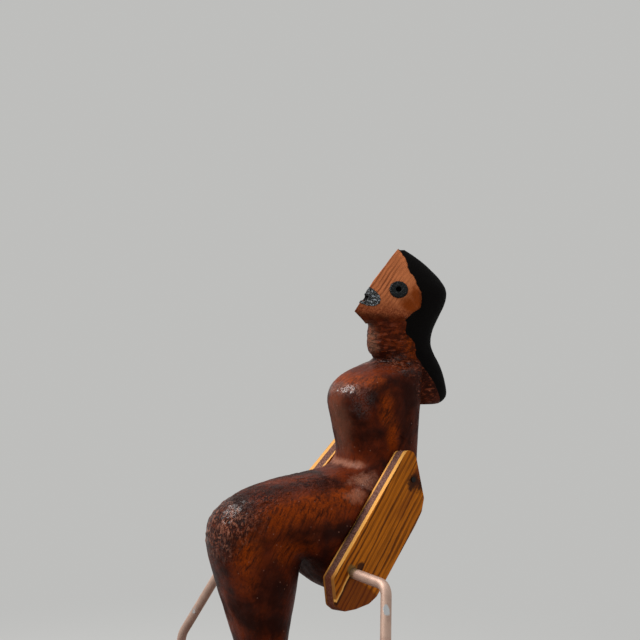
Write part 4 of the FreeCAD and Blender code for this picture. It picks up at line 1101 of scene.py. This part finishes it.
def aim_camera(s):
    """The photograph's view of the figure."""
    camera = bpy.data.cameras.new("camera")
    camera.lens = s.lens
    camera.sensor_width = SENSOR_WIDTH
    camera.clip_start = CLIP_START
    place = bpy.data.objects.new("camera", camera)
    bpy.context.scene.collection.objects.link(place)
    back = Vector((math.sin(s.azimuth) * math.cos(s.elevation), -math.cos(s.azimuth) * math.cos(s.elevation),
                   math.sin(s.elevation)))
    place.location = Vector(s.aim) + back * s.distance
    place.rotation_euler = (-back).to_track_quat("-Z", "Y").to_euler()
    bpy.context.scene.camera = place
    bpy.context.scene.view_settings.view_transform = "Standard"


# Operators


class CarveFigure(bpy.types.Operator):
    """Carve, stain, varnish and paint the figure"""

    bl_idname = "rocking_figure.carve_figure"
    bl_label = "Carve figure"

    def execute(self, context):
        s = settings().figure
        finish = carved_finish(s, tuple(middle_of("mouth") / MM))
        figure = finished(joined("carved_figure"), "carved_figure", "figure", finish)
        crisply_meshed(figure, s.carving_detail)
        eased(figure, JAW_CREASE)
        quiet = [(middle_of(name), FACE_QUIET) for name in ("eye_ring_left", "eye_ring_right", "mouth")]
        quiet += [(Vector(spot) * MM, SOCKET_QUIET) for spot in SOCKETS]
        carve(figure, s.cut_depth, quiet)
        return {"FINISHED"}


class LacquerFace(bpy.types.Operator):
    """Lay thick lacquer on the eyes and the mouth"""

    bl_idname = "rocking_figure.lacquer_face"
    bl_label = "Lacquer eyes and mouth"

    def execute(self, context):
        s = settings().figure
        dull = lacquer_finish(s, "Black lacquer", gloss=0.16, lump=0.3, painted_glint=0.03)
        wet = lacquer_finish(s, "Thick black lacquer", gloss=0.4, lump=0.7, painted_glint=0.75)
        for node, finish, lumps in (("eye_ring_left", dull, 0.05), ("eye_ring_right", dull, 0.05),
                                    ("mouth", wet, 0.2)):
            piece = finished(joined(node), node, "figure", finish)
            evenly_meshed(piece, s.lacquer_grain)
            for vertex in piece.data.vertices:
                vertex.co += vertex.normal * (noise.noise(vertex.co * LACQUER_WAVES) * lumps * MM)
        return {"FINISHED"}


class FitStrips(bpy.types.Operator):
    """Saw and varnish the striped strips on the hips and drive in their pins"""

    bl_idname = "rocking_figure.fit_strips"
    bl_label = "Fit hip strips"

    def execute(self, context):
        s = settings().strip
        for side in ("left", "right"):
            node = "hip_plate_" + side
            finish = plywood_finish("Hip strip " + side, s, STRIP_PLIES, worn=side == "left")
            softened(node, "figure", finish, s.edge, strip_directions(node))
        iron = metal_finish("Blackened pin", settings().rod.black_iron, 0.38, 0.4, BLACK_TARNISH)
        clad(iron, "hip_plate_pins", "foot_pins", "eccentric_pins")
        return {"FINISHED"}


class BendRods(bpy.types.Operator):
    """Coat the bent support rods with dull copper"""

    bl_idname = "rocking_figure.bend_rods"
    bl_label = "Coat support rods"

    def execute(self, context):
        clad(copper_finish(settings().rod), "support_rod_left", "support_rod_right")
        return {"FINISHED"}


class BuildBox(bpy.types.Operator):
    """Finish the boards and the screws of the box"""

    bl_idname = "rocking_figure.build_box"
    bl_label = "Build box"

    def execute(self, context):
        s = settings()
        dark = board_finish(s.box)
        for node, edge in (("base_board", s.box.edge), ("top_board", s.box.edge),
                           ("rod_block_left", s.box.small_edge), ("rod_block_right", s.box.small_edge)):
            softened(node, "base", dark, edge, "xyz", sum(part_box(node)[0]))
        walls = plywood_finish("Wall plywood", s.strip, WALL_PLIES, wide=WALL_GRAIN)
        for side, shift in (("left", 0.0), ("right", 0.3)):
            softened("side_board_" + side, "base", walls, s.box.edge, "yzx", shift)
        clad(metal_finish("Aged brass", s.rod.brass, 0.34, 0.55), "box_screws")
        return {"FINISHED"}


class FitShaft(bpy.types.Operator):
    """Finish the crankshaft, its bushes, collars and discs"""

    bl_idname = "rocking_figure.fit_shaft"
    bl_label = "Fit crankshaft"

    def execute(self, context):
        s = settings()
        clad(metal_finish("Turned brass", s.rod.brass, 0.26, 0.2), "shaft_bush_left", "shaft_bush_right",
             "shaft_collar_left", "shaft_collar_right", "handle_cap")
        clad(metal_finish("Ground steel", s.rod.steel, 0.3, 0.15), "crankshaft", "collar_screws",
             "crank_spacer", "crank_arm_pin", "handle_spindle", "handle_washer")
        beech = beech_finish(s.box)
        for node in ("eccentric_disc", "eccentric_cheek_left", "eccentric_cheek_right"):
            softened(node, "crank", beech, s.box.small_edge, "yzx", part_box(node)[0].x)
        return {"FINISHED"}


class FitLink(bpy.types.Operator):
    """Finish the plywood link between the disc and the feet"""

    bl_idname = "rocking_figure.fit_link"
    bl_label = "Fit link"

    def execute(self, context):
        s = settings()
        finish = plywood_finish("Link plywood", s.strip, LINK_PLIES)
        softened("connecting_link", "link", finish, s.box.small_edge, "zyx")
        return {"FINISHED"}


class FitHandle(bpy.types.Operator):
    """Finish the crank arm and its turned knob"""

    bl_idname = "rocking_figure.fit_handle"
    bl_label = "Fit handle"

    def execute(self, context):
        s = settings()
        finish = plywood_finish("Crank plywood", s.strip, ARM_PLIES)
        softened("crank_arm", "crank", finish, s.box.small_edge, "zyx")
        clad(knob_finish(s.figure), "handle_knob")
        return {"FINISHED"}


class SetStage(bpy.types.Operator):
    """Lay the floor, set the lights and aim the camera"""

    bl_idname = "rocking_figure.set_stage"
    bl_label = "Set stage"

    def execute(self, context):
        s = settings().stage
        lay_floor(s)
        light_world(s)
        for name in LIGHTS:
            add_light(s, name)
        aim_camera(s)
        return {"FINISHED"}


class RockingFigurePanel(bpy.types.Panel):
    """Steps and settings of the rocking figure"""

    bl_idname = "VIEW3D_PT_rocking_figure"
    bl_label = "Rocking Figure"
    bl_space_type = "VIEW_3D"
    bl_region_type = "UI"
    bl_category = "Rocking Figure"

    def draw(self, context):
        for step in STEPS:
            self.layout.operator(step.bl_idname)
        for group in ("figure", "strip", "rod", "box", "stage"):
            section = self.layout.box()
            section.label(text=group.capitalize())
            held = getattr(settings(), group)
            for name in held.bl_rna.properties.keys():
                if name not in ("rna_type", "name"):
                    section.prop(held, name)


STEPS = (SetStage, CarveFigure, LacquerFace, FitStrips, BendRods, BuildBox, FitShaft, FitLink, FitHandle)
CLASSES = (FigureSettings, StripSettings, RodSettings, BoxSettings, StageSettings, RockingFigureSettings,
           *STEPS, RockingFigurePanel)
GROUP_MAKERS = (make_wood_grain, make_patch, make_wrinkles, make_varnish_nibs, make_slant_strokes,
                make_edge_rub)


def register():
    """Make the settings, the steps and the panel known."""
    for kind in CLASSES:
        bpy.utils.register_class(kind)
    bpy.types.Scene.rocking_figure = PointerProperty(type=RockingFigureSettings)


def unregister():
    """Take them away again."""
    del bpy.types.Scene.rocking_figure
    for kind in reversed(CLASSES):
        bpy.utils.unregister_class(kind)


def main():
    """Dress the whole object."""
    register()
    for make in GROUP_MAKERS:
        make()
    for step in STEPS:
        family, name = step.bl_idname.split(".")
        getattr(getattr(bpy.ops, family), name)()


if __name__ == "__main__":
    main()
